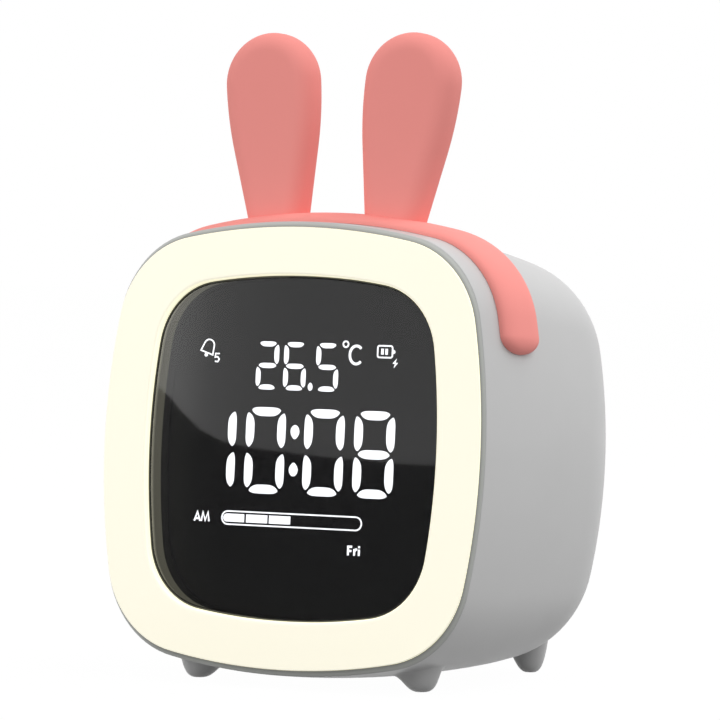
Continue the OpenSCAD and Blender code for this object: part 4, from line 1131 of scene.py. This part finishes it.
def screw_template(length, way):
    """A screw round the origin: its head lies before depth 0, and its shank runs the way given."""
    head = [(PAN_BORE_R, -PAN_DEPTH), (CROSS_R, -HEAD_H), (PAN_TOP_R, -HEAD_H)]
    head += [(PAN_SHOULDER_R, -HEAD_H * 0.8), (HEAD_R, -HEAD_H * 0.45), (HEAD_R, 0.0), (PAN_BORE_R, 0.0)]
    pan = skin(turned([(r, y * way) for r, y in head], 32), closed=True)
    arm, half = CROSS_ARM, CROSS_HALF
    cross = [(half, half), (arm, half), (arm, -half), (half, -half), (half, -arm), (-half, -arm)]
    cross += [(-px, -pz) for px, pz in cross]
    top, floor_y = sorted((-HEAD_H * 0.98 * way, -CROSS_FLOOR * way))
    filling = pierced_plate([circle(0, 0, CROSS_R + LAP), cross], top, floor_y, 0.04)
    low, high = sorted((-PAN_DEPTH * way, -0.01 * way))
    bottom = pierced_plate([circle(0, 0, CROSS_R)], low, high, 0.02)
    shank = [(SHANK_R - SHANK_NECK, -LAP)]
    root_r = SHANK_R - THREAD_H
    for k in range(int(length / THREAD_PITCH)):
        y = THREAD_PITCH * k
        shank += [(root_r, y + THREAD_FOOT), (SHANK_R, y + THREAD_CREST), (root_r, y + THREAD_PITCH)]
    shank += [(SHANK_R - SHANK_POINT, length)]
    return template_of([pan, filling, bottom, skin(turned([(r, y * way) for r, y in shank], 20))])


FRAME_SCREW_Y, FRAME_SCREW_L, COVER_SCREW_L, TURN_STEP = 5.75, 9.8, 6.2, 0.3
for name, places, y, length, way in (
    ("cover_screws", cover_post_places, seat_y, COVER_SCREW_L, -1),
    ("frame_screws", frame_post_places, FRAME_SCREW_Y, FRAME_SCREW_L, 1),
):
    placed = [(x, y, z) for x, z in places]
    turns = [TURN_STEP * i for i in range(len(placed))]
    screws = instanced(name, placed, turns, screw_template(length, way), steel, name + "_set")
    piece(name + "_set", [screws], steel, stands_for=[name], sharp=35)
refinish(steel, "board_screws", "button_board_screws")

# ---- Headband -------------------------------------------------------------------------------
# A soft coral silicone strap that lies over the top of the housing and a little down both sides,
# with a domed section and round ends. It follows the housing's outline, so it is swept along it.

BAND_Y, BAND_W, BAND_T, BAND_GAP, BAND_END_Z, BAND_DOME = 15.9, 14.6, 2.2, 0.05, 19.5, 2.6
BAND_ROUND, BAND_TIP, BAND_TUCK = 3.4, 0.06, 0.3
BAND_SECTION, BAND_STEPS, BAND_CROWDING = 33, 190, 7.5
band_half_w, band_half_h = skin_half(BAND_Y)
band_sweep = corner_of(band_half_w, CORNER_R)[1]
band_end_z = (BAND_END_Z + BAND_TUCK) * band_half_w / band_half_h
band_from = SIDE_SHARE * math.asin(band_end_z / SIDE_R) / band_sweep


def band_path(steps):
    """Points along the housing's outline under the strap, closer together at its ends."""
    share = np.linspace(0, 1, steps)
    share = share - np.sin(2 * math.pi * share) / BAND_CROWDING
    t = band_from + 2 * (1 - band_from) * share
    turns = np.where(t < 1, turn_at(t, band_sweep), math.pi / 2 + turn_at(t - 1, band_sweep))
    x, z = outline_at(band_half_w, band_half_h, CORNER_R, turns)
    x, z = x + BAND_GAP * np.cos(turns), z + BAND_GAP * np.sin(turns)
    return np.stack([x, np.full_like(x, BAND_Y), z], -1) / 1000


def hug_the_housing(points):
    """Upright strap points in metres, spread as the housing's outline grows with the depth."""
    x, y, z = np.moveaxis(np.array(points) * 1000, -1, 0)
    grown = np.array([skin_half(depth) for depth in y])
    return stood(np.stack([x * grown[:, 0] / band_half_w, y, z * grown[:, 1] / band_half_h], -1))


coral = (250, 156, 149)
silicone = moulded("soft_coral_silicone", coral, 0.68, 0.4, drift=0.015, Specular_IOR_Level=0.1)

# The strap's section is an arch of points, fuller than a half ellipse by the dome's power. It is
# swept along the path and shrinks in a quarter circle towards either end.
strap_inputs = {
    "Half Width": "Float",
    "End Rounding": "Float",
    "Thickness": "Float",
    "Dome": "Float",
    "Section Points": "Int",
    "Across": "Vector",
}
strap_group, tree, given = new_group("strap_over_outline", strap_inputs)
path = tree.add("GeometryNodeMeshToCurve", {}, {"Mesh": given["Geometry"]})
path = tree.add("GeometryNodeSetCurveNormal", {"mode": "FREE"}, {"Curve": path, "Normal": given["Across"]})
travelled = tree.add("GeometryNodeSplineParameter", output="Length")
total = tree.add("GeometryNodeSplineLength", output="Length")
from_end = tree.math("MINIMUM", travelled, total - travelled)
near = tree.math("MINIMUM", from_end / given["End Rounding"], 1.0)
fullness = tree.math("MAXIMUM", (1 - (1 - near) ** 2.0) ** 0.5, BAND_TIP)
angle = tree.add("GeometryNodeInputIndex") / (given["Section Points"] - 1) * math.pi
cosine = tree.math("COSINE", angle)
height = tree.math("MAXIMUM", tree.math("SINE", angle), 0.0)
power = 2.0 / given["Dome"]
sideways = tree.math("SIGN", cosine) * tree.math("ABSOLUTE", cosine) ** power * given["Half Width"]
place = tree.add("ShaderNodeCombineXYZ", {}, {"X": sideways, "Y": height**power * given["Thickness"]})
section = tree.add("GeometryNodeMeshLine", {"mode": "OFFSET"}, {"Count": given["Section Points"]})
section = tree.add("GeometryNodeSetPosition", {}, {"Geometry": section, "Position": place})
section = tree.add("GeometryNodeMeshToCurve", {}, {"Mesh": section})
section = tree.add("GeometryNodeSetSplineCyclic", {}, {"Geometry": section, "Cyclic": True})
sockets = {"Curve": path, "Profile Curve": section, "Scale": fullness, "Fill Caps": True}
end_group(tree, tree.add("GeometryNodeCurveToMesh", {}, sockets), silicone)

draft = in_scene("strap_path", bpy.data.meshes.new("strap_path"))
draft.data.from_pydata(band_path(BAND_STEPS), [(i, i + 1) for i in range(BAND_STEPS - 1)], [])
strap_sizes = {
    "Half Width": BAND_W / 2000,
    "End Rounding": BAND_ROUND / 1000,
    "Thickness": BAND_T / 1000,
    "Dome": BAND_DOME,
    "Section Points": BAND_SECTION,
    "Across": (0.0, -1.0, 0.0),
}
inputs_of(strap_group, draft, strap_sizes)
strap_points, strap_faces = plain_result(draft)
strap = (hug_the_housing(strap_points), strap_faces)
piece("headband_strap", [strap], silicone, "headband", ["ear_band"], sharp=60)

# ---- Ears -----------------------------------------------------------------------------------
# Two long soft ears in the same silicone, each with a round head, sides that draw in towards the
# strap and a rim rounded over on both faces. A tenon plugs each one into the strap.

EAR_R, EAR_HEAD_X, EAR_HEAD_Z, EAR_T, EAR_RIM, EAR_FLAT = 9.9, 15.45, 72.0, 8.0, 3.6, 0.5
EAR_SPLAY = math.radians(5.5)
EAR_SIDE_R, EAR_SIDE_FALL = 72.0, 13.0


def top_z(x):
    """Height of the housing's top under the strap at the distance x from the middle."""
    return band_half_h * (1 - fall_of_side(x) / band_half_w)


ear_root_x = EAR_HEAD_X - (EAR_HEAD_Z - top_z(EAR_HEAD_X)) * math.tan(EAR_SPLAY)
ear_root_z = top_z(ear_root_x) + BAND_GAP + BAND_T / 3
ear_drop = (EAR_HEAD_Z - ear_root_z) / math.cos(EAR_SPLAY)


def ear_half(drop):
    """Half width of an ear at the drop below the middle of its head."""
    bow = EAR_SIDE_R - math.sqrt(EAR_SIDE_R**2 - min(drop, EAR_SIDE_FALL) ** 2)
    slope = EAR_SIDE_FALL / math.sqrt(EAR_SIDE_R**2 - EAR_SIDE_FALL**2)
    return EAR_R - bow - slope * max(0.0, drop - EAR_SIDE_FALL)


def ear_ring(inset, y, steps=40):
    """Outline of an ear at the distance y from its middle plane, drawn in by inset."""
    radius = EAR_R - inset
    head = [(radius * math.cos(a), y, radius * math.sin(a)) for a in np.linspace(0, math.pi, steps)]
    drops = [ear_drop * i / steps for i in range(1, steps + 1)]
    left = [(inset - ear_half(d), y, -d) for d in drops]
    right = [(ear_half(d) - inset, y, -d) for d in drops[::-1]]
    return np.array(head + left + right)


def ear(side):
    half_flat = EAR_T / 2 - EAR_RIM
    rings = [ear_ring(EAR_RIM + EAR_FLAT, -EAR_T / 2)]
    for a in np.linspace(-math.pi / 2, math.pi / 2, 25):
        y = math.copysign(half_flat, a) + EAR_RIM * math.sin(a)
        rings.append(ear_ring(EAR_RIM * (1 - math.cos(a)), y))
    rings.append(ear_ring(EAR_RIM + EAR_FLAT, EAR_T / 2))
    c, s = math.cos(EAR_SPLAY), math.sin(EAR_SPLAY) * side
    x, y, z = np.moveaxis(np.array(rings), -1, 0)
    placed = [x * c + z * s + side * EAR_HEAD_X, y + BAND_Y, z * c - x * s + EAR_HEAD_Z]
    return skin(stood(np.stack(placed, -1)))


ears = [
    piece(name + "_soft", [ear(side)], silicone, "headband", [name], sharp=60)
    for side, name in ((-1, "left_ear"), (1, "right_ear"))
]

# ---- Studio ---------------------------------------------------------------------------------
# A plain white floor and soft white surroundings. Two cards at the front left, which only mirrors
# see, shade the window: a dark one, whose top edge divides the glass, and behind it a bright one.


def stage_sheet(name, points, finish):
    """One flat face through the points, which isn't part of the clock."""
    mesh = bpy.data.meshes.new(name)
    mesh.from_pydata(points, [], [tuple(range(len(points)))])
    mesh.materials.append(finish)
    sheet = in_scene(name, mesh)
    sheet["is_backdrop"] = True
    return sheet


def seen_or_mirrored(tree):
    """1 where the camera, a mirror or glass shows the surface, and 0 where it only gives light."""
    rays = ("Is Camera Ray", "Is Glossy Ray", "Is Transmission Ray")
    camera_ray, glossy_ray, glass_ray = [tree.add("ShaderNodeLightPath", output=ray) for ray in rays]
    return tree.math("MINIMUM", camera_ray + glossy_ray + glass_ray, 1.0)


WHITE = (1.0, 1.0, 1.0, 1.0)
FLOOR_REACH, FLOOR_GREY, FLOOR_WHITE, FLOOR_SHARE = 4.0, 0.26, 1.06, 0.93
floor_finish, tree = new_finish("white_floor")
diffuse = tree.add("ShaderNodeBsdfDiffuse", {}, {"Color": (FLOOR_GREY,) * 3 + (1.0,)})
white = tree.add("ShaderNodeEmission", {}, {"Color": WHITE, "Strength": FLOOR_WHITE})
sockets = {0: seen_or_mirrored(tree) * FLOOR_SHARE, 1: diffuse, 2: white}
mixed = tree.add("ShaderNodeMixShader", {}, sockets)
tree.add("ShaderNodeOutputMaterial", {}, {"Surface": mixed})
floor_corners = box(-FLOOR_REACH, FLOOR_REACH, -FLOOR_REACH, FLOOR_REACH)
stage_sheet("floor", [(x, y, 0) for x, y in floor_corners], floor_finish)

# The cards stand where the glass mirrors them to the camera. Corners are (along, up) in mm, and
# steps are pairs of a place along the card and the brightness there.
MIRROR_WAY, CARD_WAY = Vector((-0.4724, -0.8814, 0.0)), Vector((-0.8814, 0.4724, 0.0))
MOST = 3.0
DARK_TOP = [(-70, 83), (-45, 83), (-32, 82.6), (-10, 82.9), (16, 84.1), (25, 85.7), (31.5, 88.7)]
DARK_TOP += [(38, 94.3), (42, 98.5), (60, 112)]
DARK_STEPS = [(22, 0.0), (32, 0.05), (37, 0.13), (42, 0.24), (44, 0.4), (46.5, 0.85), (60, 0.95)]
GLOW_STEPS = [(-75, 1.14), (4, 1.16), (15, 1.25), (22, 1.38), (29, 1.55), (32, 1.68), (35.5, 2.05)]
GLOW_STEPS += [(39, 2.35), (43, 2.8), (47, 2.6), (49, 1.3)]
face_foot = Vector((0.0, -ORIGIN_Y, 0.0))
for name, distance, corners, steps in (
    ("dark_card", 600, [*DARK_TOP, (60, 5), (-70, 5)], DARK_STEPS),
    ("glow_card", 650, box(-90, 90, 30, 300), GLOW_STEPS),
):
    finish, tree = new_finish(name)
    low, high = steps[0][0], steps[-1][0]
    share = (tree.along(tree.place(), CARD_WAY) * 1000 - face_foot @ CARD_WAY - low) / (high - low)
    stops = [((at - low) / (high - low), (bright / MOST,) * 3 + (1.0,)) for at, bright in steps]
    light = tree.add("ShaderNodeEmission", {}, {"Color": tree.ramp(share, stops), "Strength": MOST})
    tree.add("ShaderNodeOutputMaterial", {}, {"Surface": light})
    middle = face_foot + MIRROR_WAY * distance
    points = [(middle + CARD_WAY * along + Vector((0, 0, up))) / 1000 for along, up in corners]
    card = stage_sheet(name, points, finish)
    card.visible_camera = card.visible_diffuse = card.visible_shadow = False
    card.visible_transmission = False

ROOM_LIGHT = 0.66
world = bpy.data.worlds.new("white_room")
bpy.context.scene.world = world
world.use_nodes = True
world.node_tree.nodes.clear()
tree = Tree(world.node_tree)
strength = seen_or_mirrored(tree) * (1 - ROOM_LIGHT) + ROOM_LIGHT
sky = tree.add("ShaderNodeBackground", {}, {"Color": WHITE, "Strength": strength})
tree.add("ShaderNodeOutputWorld", {}, {"Surface": sky})


def faced(thing, place, rotation):
    """Puts a lamp or the camera at a place in metres, turned by a quaternion."""
    thing.location = place
    thing.rotation_mode = "QUATERNION"
    thing.rotation_quaternion = rotation


# Square soft lights. The one from above is weaker for the ears, which would glare otherwise: the
# ear light strikes only them (INCLUDE), and the top light all but them (EXCLUDE).
AIM, ABOVE = Vector((0.0, 0.0, 0.06)), (0.5, 0.5, 0.95)
for name, place, size, power, ears_state in (
    ("key_light", (0.75, -0.15, 0.75), 0.7, 2.4, None),
    ("top_light", ABOVE, 0.8, 5.5, "EXCLUDE"),
    ("ear_light", ABOVE, 0.8, 3.0, "INCLUDE"),
    ("front_light", (-0.5, -0.8, 0.45), 0.7, 2.85, None),
):
    light = bpy.data.lights.new(name, "AREA")
    light.shape, light.size, light.energy = "SQUARE", size, power
    lamp = in_scene(name, light)
    faced(lamp, place, (AIM - Vector(place)).to_track_quat("-Z", "Y"))
    lamp.visible_glossy = lamp.visible_transmission = False
    if ears_state:
        group = bpy.data.collections.new(name + "_pieces")
        for soft_ear in ears:
            group.objects.link(soft_ear)
        lamp.light_linking.receiver_collection = group
        for entry in group.collection_objects:
            entry.light_linking.link_state = ears_state

# ---- Camera ---------------------------------------------------------------------------------
# It looks at the clock from its right, a little above the middle, with a long lens.

CAMERA_TURN, CAMERA_RISE, CAMERA_ROLL = map(math.radians, (27.47, 1.77, 0.90))
CAMERA_DISTANCE, CAMERA_RIGHT, CAMERA_UP = 916.9, 13.87, 16.97
FOCAL_PIXELS, FRAME_PIXELS, SENSOR_W = 4762.0, 720, 36.0
NEAREST, FARTHEST = 0.05, 20.0
level_out = math.cos(CAMERA_RISE)
back_way = Vector(
    (math.sin(CAMERA_TURN) * level_out, -math.cos(CAMERA_TURN) * level_out, math.sin(CAMERA_RISE))
)
level = Vector((math.cos(CAMERA_TURN), math.sin(CAMERA_TURN), 0.0))
upright = back_way.cross(level)
right_way = level * math.cos(CAMERA_ROLL) + upright * math.sin(CAMERA_ROLL)
up_way = upright * math.cos(CAMERA_ROLL) - level * math.sin(CAMERA_ROLL)
camera_data = bpy.data.cameras.new("camera")
camera_data.sensor_width = SENSOR_W
camera_data.lens = FOCAL_PIXELS / FRAME_PIXELS * SENSOR_W
camera_data.clip_start, camera_data.clip_end = NEAREST, FARTHEST
camera = in_scene("camera", camera_data)
face_middle = Vector((0.0, -ORIGIN_Y, FACE_HEIGHT))
eye = face_middle + back_way * CAMERA_DISTANCE + right_way * CAMERA_RIGHT + up_way * CAMERA_UP
faced(camera, eye / 1000, Matrix((right_way, up_way, back_way)).transposed().to_quaternion())
bpy.context.scene.camera = camera
bpy.context.scene.view_settings.view_transform = "Standard"

low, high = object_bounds()
